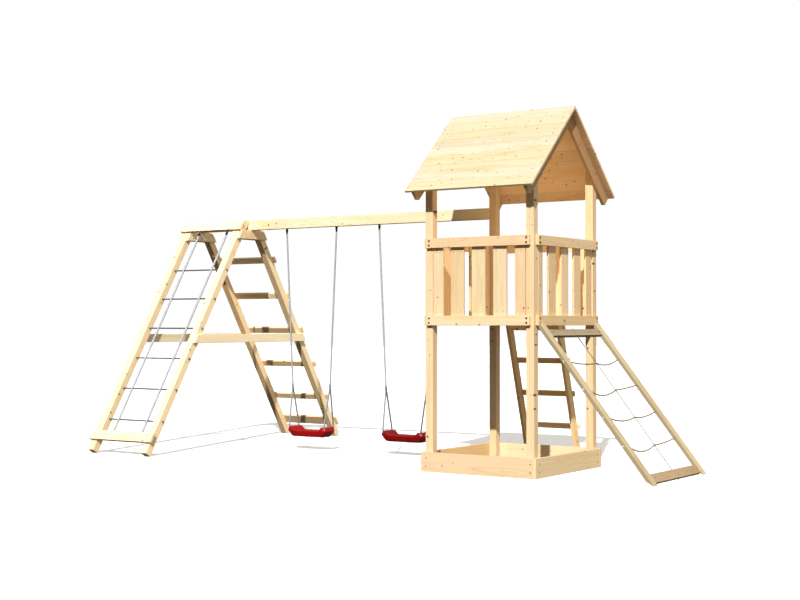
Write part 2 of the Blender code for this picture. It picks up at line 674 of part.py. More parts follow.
board_on_legs("net_board_top", TOP_BOARD_S, TOP_BOARD_S + WIDE_BOARD, -1)
board_on_legs("net_board_bottom", LOW_BOARD_S, LOW_BOARD_S + WIDE_BOARD, -1)
board_on_legs("back_board_bottom", LOW_BOARD_S, LOW_BOARD_S + WIDE_BOARD, 1)
for i in range(BACK_RUNGS):
    s_mid = BACK_RUNG_FIRST + BACK_RUNG_STEP * i
    board_on_legs("back_rung_%d" % (i + 1), s_mid - RUNG_W / 2, s_mid + RUNG_W / 2, 1)

# Climbing net between the front legs
net_mid = (NEAR_X + FAR_X - POST) / 2
NET_DEPTH = POST / 2
climb = None
for k, sign in enumerate((-1, 1)):
    x = net_mid + sign * NET_LONG_SPACING / 2
    y0, z0 = leg_point(LOW_BOARD_S + 0.030, NET_DEPTH - 0.014, -1)
    y1, z1 = leg_point(LOW_BOARD_S + WIDE_BOARD + 0.040, NET_DEPTH, -1)
    y2, z2 = leg_point(TOP_BOARD_S - 0.040, NET_DEPTH, -1)
    y3, z3 = leg_point(TOP_BOARD_S + 0.050, NET_DEPTH - 0.014, -1)
    points = [Vector((x, y0, z0)), Vector((x, y1, z1)), Vector((x, y2, z2)), Vector((x, y3, z3))]
    long_rope = tube("climbing_net" if climb is None else "climbing_net_long_2", points,
                     NET_LONG_D / 2, ROPE, 10)
    if climb is None:
        climb = long_rope
    else:
        boolean(climb, long_rope, "UNION")
for i, s in enumerate(net_ss):
    y, z = leg_point(s, NET_DEPTH, -1)
    start = Vector((FAR_X - POST - 0.001, y, z))
    end = Vector((NEAR_X + 0.001, y, z))
    pts, bulge = with_knots(start, end, 0.009, NET_CROSS_D / 2)
    boolean(climb, tube("climbing_net_cross_%d" % (i + 1), pts, NET_CROSS_D / 2, ROPE, 8, bulge), "UNION")

# Swings: steel hooks under the beam, ropes and moulded seats
for number, place in ((1, SWING_ONE), (2, SWING_TWO)):
    mid_x = TX - place
    swing_empty = bpy.data.objects.new("swing_%d_axis" % number, None)
    swing_empty.location = (mid_x, 0, PIN_Z)
    bpy.context.collection.objects.link(swing_empty)
    moving = []
    for side_name, sign in (("left", -1), ("right", 1)):
        hx = mid_x + sign * HANG_SPACING / 2
        ear = 0.003
        room = EYE_W / 2 + 0.0008
        plate = box("hook_%d_%s" % (number, side_name), (hx - 0.020, -0.020, BEAM_BOTTOM - 0.0033),
                    (hx + 0.020, 0.020, BEAM_BOTTOM - GAP), STEEL)
        for ear_sign in (-1, 1):
            a, b = sorted((hx + ear_sign * room, hx + ear_sign * (room + ear)))
            outline = [(-0.010, BEAM_BOTTOM - 0.002), (0.010, BEAM_BOTTOM - 0.002),
                       (0.008, PIN_Z - 0.007), (-0.008, PIN_Z - 0.007)]
            boolean(plate, prism("hook_%d_%s_ear_%d" % (number, side_name, ear_sign), outline, "x", a, b, STEEL),
                    "UNION")
        pin = rod("hook_%d_%s_pin" % (number, side_name), (hx - room - ear - 0.003, 0, PIN_Z),
                  (hx + room + ear + 0.003, 0, PIN_Z), PIN_R, STEEL, 16)
        boolean(plate, pin, "UNION")

        rope_name = "swing_%d_rope_%s" % (number, side_name)
        rope = rod(rope_name, (hx - EYE_W / 2, 0, PIN_Z), (hx + EYE_W / 2, 0, PIN_Z), EYE_R, ROPE, 20)
        split = Vector((mid_x + sign * SPLIT_SPACING / 2, 0, SPLIT_Z))
        main = tube(rope_name + "_main", [Vector((hx, 0, PIN_Z - 0.007)), Vector((hx, 0, PIN_Z - 0.014)),
                                          split + Vector((0, 0, 0.02)), split - Vector((0, 0, 0.012))],
                    ROPE_D / 2, ROPE, 10, [(0, EYE_W * 0.4)])
        boolean(rope, main, "UNION")
        seat_top = SEAT_BOTTOM + SEAT_WING
        ball = tube(rope_name + "_split", [split + Vector((0, 0, 0.026)), split + Vector((0, 0, 0.020)),
                                           split - Vector((0, 0, 0.016)), split - Vector((0, 0, 0.022))],
                    0.011, ROPE, 12, [(0, 0.007), (3, 0.007)])
        boolean(rope, ball, "UNION")
        for y_sign in (-1, 1):
            hole_at = Vector((mid_x + sign * SEAT_HOLE_X, y_sign * SEAT_HOLE_Y, seat_top))
            under = seat_top - SEAT_WALL
            strand_pts = [split + Vector((0, y_sign * 0.003, -0.006)), hole_at + Vector((0, 0, 0.016)),
                          hole_at, Vector((hole_at.x, hole_at.y, under - 0.0006))]
            bulge = []
            for drop, r in ((0.002, 0.007), (0.008, 0.0085), (0.014, 0.007), (0.017, STRAND_D / 2)):
                bulge.append((len(strand_pts), r))
                strand_pts.append(Vector((hole_at.x, hole_at.y, under - 0.0006 - drop)))
            strand = tube(rope_name + "_strand_%d" % y_sign, strand_pts, STRAND_D / 2, ROPE, 8, bulge)
            boolean(rope, strand, "UNION")
        bore = rod(rope_name + "_bore", (hx - EYE_W, 0, PIN_Z), (hx + EYE_W, 0, PIN_Z), PIN_R + GAP, ROPE, 16)
        boolean(rope, bore, "DIFFERENCE")
        moving.append(rope)

    # Seat: a boat-shaped tray, hollow below, with raised ends
    def seat_top_at(x):
        a = abs(x) / (SEAT_L / 2)
        rise = min(max((a - 0.42) / 0.20, 0.0), 1.0)
        rise = rise * rise * (3 - 2 * rise)
        return SEAT_MID + (SEAT_WING - SEAT_MID) * rise

    def seat_ring(x, inset, floor):
        a = abs(x) / (SEAT_L / 2)
        lift = 0.0
        if a > 0.80:
            lift = (a - 0.80) / 0.20
        low = SEAT_BOTTOM + 0.074 * lift ** 1.4
        top = SEAT_BOTTOM + seat_top_at(x)
        half = SEAT_D / 2
        taper = 0.012
        if floor:
            below = 0.05
            narrow = half - inset - taper - taper * below / (top - low)
            return [(-narrow, low - below), (narrow, low - below),
                    (half - inset, top - inset), (-half + inset, top - inset)]
        return [(-half + taper, low), (half - taper, low), (half, top - 0.004), (half - 0.004, top),
                (-half + 0.004, top), (-half, top - 0.004)]

    def seat_loft(name, inset, floor, x_from, x_to, steps):
        bm = bmesh.new()
        rings = []
        for i in range(steps + 1):
            x = x_from + (x_to - x_from) * i / steps
            rings.append([bm.verts.new((mid_x + x, y, z)) for y, z in seat_ring(x, inset, floor)])
        count = len(rings[0])
        for r0, r1 in zip(rings, rings[1:]):
            for k in range(count):
                m = (k + 1) % count
                bm.faces.new((r0[k], r0[m], r1[m], r1[k]))
        bm.faces.new(list(reversed(rings[0])))
        bm.faces.new(rings[-1])
        return make(name, bm, RED)

    seat = seat_loft("swing_%d_seat" % number, 0.0, False, -SEAT_L / 2, SEAT_L / 2, 40)
    hollow = seat_loft("swing_%d_seat_hollow" % number, SEAT_WALL, True,
                       -SEAT_L / 2 + 0.020, SEAT_L / 2 - 0.020, 40)
    boolean(seat, hollow, "DIFFERENCE")
    for sign in (-1, 1):
        for y_sign in (-1, 1):
            hole_x = mid_x + sign * SEAT_HOLE_X
            drill = rod("swing_%d_seat_drill_%d_%d" % (number, sign, y_sign),
                        (hole_x, y_sign * SEAT_HOLE_Y, SEAT_BOTTOM + SEAT_MID),
                        (hole_x, y_sign * SEAT_HOLE_Y, SEAT_BOTTOM + SEAT_WING + 0.05),
                        STRAND_D / 2 + 0.0006, RED)
            boolean(seat, drill, "DIFFERENCE")
    moving.append(seat)
    for obj in moving:
        obj.parent = swing_empty
        obj.matrix_parent_inverse = Matrix.Translation(swing_empty.location).inverted()
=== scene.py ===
"""Dresses the wooden play tower with its net ramp, climbing frame and two swings.

Metres, +Z up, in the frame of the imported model.  X runs along the swing beam,
from the climbing frame (-X) to the tower and its ramp (+X); Y is the depth.
"""
import math
import zlib

import bmesh
import bpy
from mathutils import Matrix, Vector
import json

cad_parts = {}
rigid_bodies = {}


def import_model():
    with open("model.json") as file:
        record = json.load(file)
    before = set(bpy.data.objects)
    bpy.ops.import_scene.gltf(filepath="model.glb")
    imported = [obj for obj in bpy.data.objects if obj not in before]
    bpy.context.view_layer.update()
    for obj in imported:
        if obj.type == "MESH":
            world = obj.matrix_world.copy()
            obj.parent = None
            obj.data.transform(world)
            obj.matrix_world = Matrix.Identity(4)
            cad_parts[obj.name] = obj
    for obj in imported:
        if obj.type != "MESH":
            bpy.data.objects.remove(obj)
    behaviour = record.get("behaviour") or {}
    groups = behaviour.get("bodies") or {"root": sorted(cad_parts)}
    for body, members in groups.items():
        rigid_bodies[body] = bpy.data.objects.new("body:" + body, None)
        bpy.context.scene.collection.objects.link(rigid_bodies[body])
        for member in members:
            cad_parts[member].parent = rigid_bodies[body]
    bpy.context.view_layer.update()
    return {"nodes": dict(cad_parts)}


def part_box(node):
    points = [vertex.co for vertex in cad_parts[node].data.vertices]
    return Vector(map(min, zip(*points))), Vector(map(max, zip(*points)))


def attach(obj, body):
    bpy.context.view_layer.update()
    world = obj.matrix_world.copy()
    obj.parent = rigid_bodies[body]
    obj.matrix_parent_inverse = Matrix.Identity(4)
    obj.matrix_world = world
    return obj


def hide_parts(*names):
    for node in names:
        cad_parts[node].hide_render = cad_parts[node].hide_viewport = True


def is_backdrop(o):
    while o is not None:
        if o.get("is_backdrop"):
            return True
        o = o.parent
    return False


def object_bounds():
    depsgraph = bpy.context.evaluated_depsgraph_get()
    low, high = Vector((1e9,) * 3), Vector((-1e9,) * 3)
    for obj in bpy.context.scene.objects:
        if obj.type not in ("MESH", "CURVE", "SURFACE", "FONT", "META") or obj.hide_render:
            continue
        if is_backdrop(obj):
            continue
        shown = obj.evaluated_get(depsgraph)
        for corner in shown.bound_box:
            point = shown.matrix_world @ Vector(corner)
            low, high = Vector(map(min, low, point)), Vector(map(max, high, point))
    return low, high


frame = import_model()
NODES = frame["nodes"]

# Sizes shared with the model's solids
GAP = 0.0003
POST = 0.068
BOARD = 0.028
SLAT_T = 0.018
ROOF_T = 0.018
ROOF_BOARDS = 9
RAFTER_H = 0.095
RIDGE_Z = 2.920
EAVE_Z = 2.243
EAVE_Y = 0.723
TAIL_CUT_Z = 2.175
TX = 1.2425                 # tower's middle
TY = -0.505
HX = 0.494                  # tower's half width and half depth over its posts
HY = 0.539
DECK_RAIL_TOP = 1.249
GUARD_TOP = 1.868
RAIL_H = 0.078
DECK_T = 0.018
DECK_Z = 1.235
DECK_BOARDS = 8
JOIST_W = 0.045
BEAM_BOTTOM = 2.089
PIN_Z = 2.063
FOOT_HALF = 1.439
LEAN = math.radians(31.8698)
LADDER_LEAN = math.radians(17.2)
NEAR_X = TX - 3.193         # +X faces of the near and of the far frame
FAR_X = NEAR_X - POST - 0.593
NET_STEPS = [0.335 + 0.3286 * i for i in range(6)]
NET_HALF = 0.178            # from the net's middle to each long rope
RAMP_X = TX + HX + BOARD
RAMP_TOP_Z = 1.196
RAMP_RUN = 0.943
RAMP_HALF = 0.511
RAMP_RAIL_W = 0.078
RAMP_STEPS = [0.370 + 0.2622 * i for i in range(4)]
RAMP_SLIP = 0.030           # the tied middles hang this far down the slope
RAMP_SAGS = [(0.012, 0.027), (0.044, 0.004), (0.027, 0.016), (0.044, 0.006)]
SWINGS = {1: TX - 2.454, 2: TX - 1.379}
HANG_HALF = 0.294
SPLIT_Z = 0.590
SPLIT_HALF = 0.220
SEAT_BOTTOM = 0.124
SEAT_MID = 0.058
SEAT_WING = 0.092
SEAT_L = 0.483
SEAT_D = 0.180
SEAT_HOLE_X = 0.205
SEAT_HOLE_Y = 0.070

# Widths of the ropes as drawn
RAMP_ROPE_D = 0.0115
RAMP_CORD_D = 0.0068
NET_LONG_D = 0.0222
NET_CROSS_D = 0.0145
SWING_D = 0.0176
STRAND_D = 0.0160

X = Vector((1, 0, 0))
Y = Vector((0, 1, 0))
Z = Vector((0, 0, 1))
LEFT_RIGHT = (("left", -1), ("right", 1))
FRONT_REAR = (("front", -1), ("rear", 1))
CORNERS = [(sx, sy) for sx in (-1, 1) for sy in (-1, 1)]


def seeds(name):
    """Three steady numbers from 0 to 1 for a piece's name."""
    h = zlib.crc32(name.encode())
    return [((h >> shift) & 1023) / 1023 for shift in (0, 10, 20)]


# How light and how warm single pieces are beside others of their kind, as factors on the colour: partly
# their own tone, partly painted light and shade
# Painted shade darkens the right rafters, the second seat and its collars, the swing strands (the rear ones
# most) and the net's cross ropes; painted warm bounce light brightens the rear roof boards, ladder rungs 1
# and 4 and the ladder's right stringer
TONE_AND_PAINTED_LIGHT = {
    "swing_beam": (1.20, 1.38, 1.58),
    "leg_": (1.30, 1.36, 1.42),
    "leg_near_back": (1.40, 1.50, 1.56),
    "leg_far_back": (1.36, 1.36, 1.34),
    "crossbar_near": (1.25, 1.40, 1.56),
    "crossbar_far": (1.26, 1.44, 1.60),
    "head_plate": (1.24, 1.36, 1.48),
    "net_board": (1.22, 1.26, 1.42),
    "net_board_top": (1.42, 1.56, 1.84),
    "back_board": (1.06, 1.10, 1.14),
    "back_rung": (1.12, 1.14, 1.18),
    "back_rung_4": (1.40, 1.46, 1.52),
    "back_rung_5": (1.45, 1.52, 1.58),
    "deck_rail_front": (0.96, 1.05, 1.13),
    "guard_rail_front": (0.92, 0.90, 0.90),
    "deck_rail_right": (0.95, 0.90, 0.80),
    "sandpit_board_front": (0.91, 0.92, 0.96),
    "sandpit_board_left": (1.05, 0.97, 0.80),
    "sandpit_board_rear": (1.08, 1.10, 1.12),
    "slat_front_1": (0.89, 0.95, 1.00),
    "slat_front_2": (0.86, 0.87, 0.81),
    "slat_front_3": (0.97, 1.06, 1.08),
    "slat_front_4": (0.96, 1.02, 1.05),
    "slat_front_5": (0.86, 0.83, 0.83),
    "post_front_right": (1.00, 1.04, 1.08),
    "rafter_right_front": (0.64, 0.58, 0.46),
    "rafter_right_rear": (0.66, 0.54, 0.42),
    "rafter_left": (0.74, 0.72, 0.66),
    "ladder_rung_1": (1.27, 1.27, 1.20),
    "ladder_rung_2": (0.92, 0.84, 0.56),
    "ladder_rung_3": (1.00, 0.92, 0.70),
    "ladder_rung_4": (1.27, 1.27, 1.16),
    "ladder_stringer_left": (0.94, 0.86, 0.66),
    "ladder_stringer_right": (1.24, 1.18, 1.02),
    "roof_board_front_1": (1.00, 1.00, 1.12),
    "roof_board_front_3": (1.00, 0.97, 0.93),
    "roof_board_front_4": (1.00, 1.05, 1.15),
    "roof_board_front_5": (1.00, 1.00, 1.10),
    "roof_board_front_6": (1.00, 0.96, 0.92),
    "roof_board_rear": (1.30, 1.14, 1.03),
    "roof_board_front_8": (0.98, 1.10, 1.24),
    "roof_board_front_9": (1.00, 0.95, 0.93),
    "ramp_board_top": (0.68, 0.67, 0.70),
    "swing_1_lashing": (0.70, 0.70, 0.72),
    "swing_2_lashing": (0.56, 0.56, 0.58),
    "swing_1_main_rope": (0.84, 0.84, 0.86),
    "swing_2_main_rope": (0.88, 0.88, 0.90),
    "swing_strand_1_left_front": (0.62, 0.62, 0.64),
    "swing_strand_1_right_front": (0.62, 0.62, 0.64),
    "swing_strand_2_left_front": (0.62, 0.62, 0.64),
    "swing_strand_1": (0.40, 0.40, 0.42),
    "swing_strand_2": (0.26, 0.26, 0.28),
    "swing_2_moulded_seat": (0.64, 0.76, 0.76),
    "swing_2_seat_collars": (0.74, 0.80, 0.80),
    "ramp_cord": (0.46, 0.46, 0.47),
    "net_long": (0.80, 0.80, 0.83),
    "net_cross": (0.60, 0.62, 0.64),
}


# Painted shade: how far faces that look down are darkened
DOWN_FACE_PAINTED_SHADE = {
    "leg_near_back": 0.62,
    "leg_far_back": 0.60,
    "back_rung": 0.74,
    "back_rung_4": 1.0,
    "back_rung_5": 1.0,
    "back_board": 0.68,
    "swing_beam": 0.52,
    "crossbar": 0.60,
    "head_plate": 0.60,
    "net_board": 0.55,
    "ramp_": 0.70,
}


def by_name(table, name, plain):
    """The entry whose key is the longest one that the name starts with."""
    return next((table[key] for key in sorted(table, key=len, reverse=True) if name.startswith(key)), plain)


def colour_piece(obj):
    obj["tint"] = by_name(TONE_AND_PAINTED_LIGHT, obj.name, (1.0, 1.0, 1.0))
    obj["under"] = by_name(DOWN_FACE_PAINTED_SHADE, obj.name, 1.0)


# Materials
class Graph:
    """Short calls for building a material's nodes."""

    def __init__(self, name):
        self.mat = bpy.data.materials.new(name)
        self.mat.use_nodes = True
        self.tree = self.mat.node_tree
        self.shader = self.tree.nodes["Principled BSDF"]

    def link(self, source, socket):
        """Feed a socket from another node's output or with a plain value."""
        if hasattr(source, "is_output"):
            self.tree.links.new(source, socket)
        else:
            socket.default_value = source

    def node(self, kind, *sources, **settings):
        """A new node with its settings, and with what feeds its first inputs."""
        made = self.tree.nodes.new(kind)
        for key, value in settings.items():
            setattr(made, key, value)
        for source, socket in zip(sources, made.inputs):
            self.link(source, socket)
        return made

    def surface(self, **inputs):
        """Feed the shader's inputs, whose names have _ for a space here."""
        for name, source in inputs.items():
            self.link(source, self.shader.inputs[name.replace("_", " ")])

    def place(self):
        return self.node("ShaderNodeTexCoord").outputs["Object"]

    def own(self, name, output="Vector"):
        """A value that the piece itself carries."""
        made = self.node("ShaderNodeAttribute", attribute_type="OBJECT", attribute_name=name)
        return made.outputs[output]

    def math(self, operation, a, b=0.0, clamp=False):
        return self.node("ShaderNodeMath", a, b, operation=operation, use_clamp=clamp).outputs[0]

    def add(self, a, b):
        return self.math("ADD", a, b)

    def minus(self, a, b):
        return self.math("SUBTRACT", a, b)

    def times(self, a, b):
        return self.math("MULTIPLY", a, b)

    def power(self, a, b):
        return self.math("POWER", a, b)

    def vec(self, operation, a, b=(0, 0, 0), scale=1.0):
        made = self.node("ShaderNodeVectorMath", a, b, operation=operation)
        made.inputs[3].default_value = scale
        return made.outputs[1 if operation in ("DOT_PRODUCT", "LENGTH") else 0]

    def combine(self, x, y, z):
        return self.node("ShaderNodeCombineXYZ", x, y, z).outputs[0]

    def split(self, vector):
        return self.node("ShaderNodeSeparateXYZ", vector).outputs

    def noise(self, vector, scale=1.0, detail=2.0, rough=0.5, distort=0.0):
        made = self.node("ShaderNodeTexNoise", vector)
        for name, value in (("Scale", scale), ("Detail", detail),
                            ("Roughness", rough), ("Distortion", distort)):
            made.inputs[name].default_value = value
        return made.outputs["Fac"]

    def span(self, value, low, high, to_low=0.0, to_high=1.0, kind="SMOOTHSTEP"):
        """Map a value from one range to another, held at its ends."""
        return self.node("ShaderNodeMapRange", value, low, high, to_low, to_high, clamp=True,
                         interpolation_type=kind).outputs[0]

    def mix(self, share, a, b, blend="MIX"):
        made = self.node("ShaderNodeMix", data_type="RGBA", blend_type=blend)
        for source, number in ((share, 0), (a, 6), (b, 7)):
            self.link(source, made.inputs[number])
        return made.outputs[2]

    def dim(self, colour, factor):
        return self.mix(1.0, colour, factor, "MULTIPLY")

    def bump(self, height, strength, distance):
        made = self.node("ShaderNodeBump")
        for name, source in (("Height", height), ("Strength", strength), ("Distance", distance)):
            self.link(source, made.inputs[name])
        self.surface(Normal=made.outputs[0])


def rgb(r, g, b):
    """Colour written as on a screen, 0 to 255, as a linear value."""
    def linear(c):
        c = c / 255
        return c / 12.92 if c <= 0.04045 else ((c + 0.055) / 1.055) ** 2.4

    return (linear(r), linear(g), linear(b), 1.0)


KNOT_CELL = (0.100, 0.046, 0.200)       # a knot at most in each: along, across and through
RING_PITCH = 0.0048                     # from one growth ring to the next, in the mean
SEED_REACH = 37.0                       # how far apart the pieces lie in the wood that they're cut from


def knots_in(g, spot, knots, through, speck):
    """Thin branches through the board: their core, the halo round it, and how far the grain flows aside."""
    scaled = g.vec("DIVIDE", spot, KNOT_CELL)
    cells = g.node("ShaderNodeTexVoronoi", scaled, feature="F1")
    cells.inputs["Scale"].default_value = 1.0
    off = g.vec("SUBTRACT", scaled, cells.outputs["Position"])
    off = g.vec("MULTIPLY", off, (KNOT_CELL[0], KNOT_CELL[1], through))
    ragged = g.times(g.minus(g.noise(spot, 160.0, 1.0), 0.5), 0.0034)
    far = g.add(g.vec("LENGTH", off), ragged)
    lot = g.split(cells.outputs["Color"])[0]
    grown = g.span(lot, 1.0 - 0.25 * knots, 1.0, kind="LINEAR")
    least = g.span(lot, 0.999 - 0.25 * knots, 1.0 - 0.25 * knots, -0.002, 0.82 * speck)
    size = g.add(g.times(g.power(grown, 3.0), speck), least)
    inside = g.minus(size, far)
    core = g.span(inside, -0.0004, 0.0010)
    halo = g.times(g.span(inside, -0.0060, 0.0), g.span(size, 0.0010, 0.005))
    flow = g.times(g.span(inside, -0.024, 0.002), g.span(size, 0.0, 0.006, 0.0, 0.006))
    return core, halo, flow


def rings_in(g, spot, v, w, chances, flow):
    """Growth rings round a pith line that wanders beside the board, and the share of late wood."""
    spot_u, spot_v = g.split(spot)[:2]
    bend = g.noise(g.combine(g.times(spot_u, 1.1), g.times(spot_v, 3.0), chances[2]), 1.0, 1.0)
    bend = g.times(g.minus(bend, 0.5), 0.055)
    ring_v = g.add(v, g.add(g.times(chances[0], 0.10), -0.05))
    ring_w = g.add(g.add(w, g.add(g.times(chances[1], 0.05), 0.035)), bend)
    radius = g.add(g.math("SQRT", g.add(g.power(ring_v, 2.0), g.power(ring_w, 2.0))), flow)
    uneven = g.noise(g.combine(g.times(radius, 95.0), g.times(spot_u, 0.5), chances[2]), 1.0, 2.0, 0.6)
    phase = g.math("FRACT", g.add(g.math("DIVIDE", radius, RING_PITCH), g.times(uneven, 1.3)))
    ring = g.times(g.power(phase, 2.6), g.span(phase, 1.0, 0.93))
    band = g.span(uneven, 0.40, 0.68)
    return ring, g.math("ADD", g.times(ring, 0.42), g.times(band, 0.30), clamp=True)


def wood(name, early, late, warm, knots=1.0, streaks=0.35, top_light_share=0.0, through=0.030, speck=0.0044):
    """Sawn softwood.  Each piece carries its own grain direction, middle and seed.

    A knot reaches about through into the board and has a radius of up to about speck.
    """
    g = Graph(name)
    along = g.own("grain")
    across = g.own("across")
    deep = g.vec("CROSS_PRODUCT", along, across)
    local = g.vec("SUBTRACT", g.place(), g.own("middle"))
    seed = g.own("seed")
    chances = g.split(seed)
    u, v, w = (g.vec("DOT_PRODUCT", local, way) for way in (along, across, deep))
    spot = g.vec("ADD", g.combine(u, v, w), g.vec("SCALE", seed, scale=SEED_REACH))
    core, halo, flow = knots_in(g, spot, knots, through, speck)
    ring, late_share = rings_in(g, spot, v, w, chances, flow)

    # Fibres along the board, and broad warm streaks
    fibre = g.noise(g.vec("MULTIPLY", spot, (7.0, 420.0, 420.0)), 1.0, 2.0, 0.55)
    broad = g.noise(g.vec("MULTIPLY", spot, (1.7, 13.0, 13.0)), 1.0, 3.0, 0.6, 0.6)
    colour = g.mix(late_share, early, late)
    colour = g.mix(g.times(g.span(broad, 0.50, 0.72), streaks), colour, warm)
    tone = g.add(g.add(g.times(chances[2], 0.16), 0.90), g.times(g.minus(fibre, 0.5), 0.16))
    green, blue = (g.add(tone, g.times(chances[0], change)) for change in (-0.03, -0.07))
    colour = g.dim(colour, g.combine(tone, green, blue))
    colour = g.mix(g.times(halo, 0.22), colour, rgb(184, 142, 84))
    colour = g.mix(g.times(core, 0.86), colour, rgb(52, 50, 36))

    # The piece's tint, which holds painted light and shade too, then painted shade on faces that look down,
    # and on some woods painted light on faces that look up with painted shade on their sides
    colour = g.dim(colour, g.own("tint"))
    up = g.split(g.node("ShaderNodeNewGeometry").outputs["Normal"])[2]
    # Painted shade on faces that look down, by the piece's under factor
    painted_down_shade = g.span(up, -0.35, -0.12, g.own("under", "Fac"))
    colour = g.dim(colour, g.combine(painted_down_shade, g.power(painted_down_shade, 1.15), g.power(painted_down_shade, 1.45)))
    # Painted light on faces that look up and painted shade on the rest
    if top_light_share:
        painted_top_light = g.span(up, 0.10, 0.55, 1.0 - top_light_share, 1.0 + 0.5 * top_light_share)
        colour = g.dim(colour, g.combine(painted_top_light, painted_top_light, painted_top_light))
    rough = g.minus(g.add(0.60, g.times(fibre, 0.16)), g.times(core, 0.15))
    g.surface(Base_Color=colour, Roughness=rough, Specular_IOR_Level=0.32)
    height = g.add(g.times(fibre, 0.7), g.times(ring, -0.4))
    g.bump(g.add(height, g.times(core, -0.8)), 0.35, 0.0006)
    return g.mat


def rope_material(name, base, dark):
    """Twisted synthetic rope: fine yarns, with dust in the lay."""
    g = Graph(name)
    yarn = g.noise(g.place(), 900.0, 2.0, 0.6)
    patch = g.noise(g.place(), 26.0)
    colour = g.mix(g.span(yarn, 0.35, 0.75, 0.0, 0.4), base, dark)
    colour = g.mix(g.span(patch, 0.45, 0.75, 0.0, 0.3), colour, dark)
    g.surface(Base_Color=g.dim(colour, g.own("tint")), Roughness=g.span(yarn, 0.2, 0.8, 0.72, 0.9),
              Sheen_Weight=0.15)
    g.bump(yarn, 0.5, 0.0004)
    return g.mat


def steel(name, base, rough=0.38):
    """Coated steel, a little worn and dusty."""
    g = Graph(name)
    grain = g.noise(g.place(), 420.0, 2.0, 0.6)
    wear = g.noise(g.place(), 70.0, 3.0, 0.6)
    g.surface(Base_Color=g.mix(g.span(wear, 0.55, 0.75, 0.0, 0.5), base, rgb(132, 128, 122)),
              Roughness=g.span(grain, 0.3, 0.7, rough, rough + 0.16), Metallic=1.0)
    g.bump(grain, 0.2, 0.0002)
    return g.mat


def moulded(name, base, deep):
    """Glossy blow-moulded plastic with a faint orange peel and scuffs."""
    g = Graph(name)
    peel = g.noise(g.place(), 260.0, 1.0, 0.4)
    cloud = g.noise(g.place(), 12.0, 3.0)
    scuff = g.noise(g.vec("MULTIPLY", g.place(), (30.0, 300.0, 300.0)), 1.0, 2.0, 0.6)
    colour = g.dim(g.mix(g.span(cloud, 0.35, 0.7, 0.0, 0.5), base, deep), g.own("tint"))
    rough = g.add(g.span(peel, 0.3, 0.7, 0.34, 0.42), g.span(scuff, 0.62, 0.8, 0.0, 0.20))
    g.surface(Base_Color=colour, Roughness=rough, Specular_IOR_Level=0.12, Coat_Weight=0.03,
              Coat_Roughness=0.20)
    g.bump(peel, 0.12, 0.0005)
    return g.mat


SPRUCE = wood("spruce", rgb(227, 201, 162), rgb(204, 168, 118), rgb(216, 172, 110), 2.4,
              through=0.055, speck=0.0062)
ROOFING = wood("spruce_roof", rgb(204, 189, 161), rgb(188, 166, 121), rgb(200, 160, 88), 1.8, 0.55,
               through=0.003, speck=0.0046)
# The ramp's wood for its rails and top board has painted light on faces that look up and painted shade on
# the others
RAMP_WOOD = wood("spruce_ramp", rgb(184, 168, 136), rgb(150, 130, 94), rgb(164, 138, 92), 1.2, 0.4, 0.26)
RAMP_WARM = wood("spruce_ramp_warm", rgb(178, 152, 120), rgb(140, 108, 76), rgb(152, 110, 72), 1.2, 0.4)
SWING_ROPE = rope_material("swing_rope", rgb(176, 177, 178), rgb(120, 121, 123))
NET_ROPE = rope_material("net_rope", rgb(196, 197, 198), rgb(138, 139, 142))
# The net's cross ropes and their knots are white rope like the long ones; this darker grey is painted shade
SHADED_NET_ROPE = rope_material("grey_rope", rgb(108, 112, 116), rgb(72, 76, 80))
HEMP = rope_material("ramp_rope", rgb(142, 128, 108), rgb(96, 84, 70))
DARK_STEEL = steel("dark_steel", rgb(46, 46, 50))
BOLT = steel("bolt_steel", rgb(58, 54, 50), 0.45)
RED = moulded("red_plastic", rgb(150, 20, 18), rgb(124, 12, 12))


# Building blocks
def new_piece(name, bm, material):
    """A new object from a bmesh, which it uses up."""
    mesh = bpy.data.meshes.new(name)
    bm.to_mesh(mesh)
    bm.free()
    mesh.materials.append(material)
    obj = bpy.data.objects.new(name, mesh)
    bpy.context.scene.collection.objects.link(obj)
    colour_piece(obj)
    return obj


def finish_mesh(name, bm, material, smooth=False):
    bmesh.ops.recalc_face_normals(bm, faces=bm.faces)
    obj = new_piece(name, bm, material)
    if smooth:
        obj.data.shade_smooth()
    return obj


def skin(bm, rings, capped=True):
    """Faces from each ring of points to the next, and over the two ends."""
    for a, b in zip(rings, rings[1:]):
        for k in range(len(a)):
            m = (k + 1) % len(a)
            bm.faces.new((a[k], a[m], b[m], b[k]))
    if capped:
        bm.faces.new(list(reversed(rings[0])))
        bm.faces.new(rings[-1])


def ride(obj, body, slot, *replaced):
    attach(obj, body)
    if replaced:
        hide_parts(*replaced)


def give_grain(obj, grain, across):
    """Lay the wood along a piece; its middle and seed are its own."""
    points = [v.co for v in obj.data.vertices]
    middle = sum(points, Vector()) / len(points)
    obj["grain"] = list(grain.normalized())
    obj["across"] = list((across - grain * (across.dot(grain) / grain.length_squared)).normalized())
    obj["middle"] = list(middle)
    obj["seed"] = seeds(obj.name)


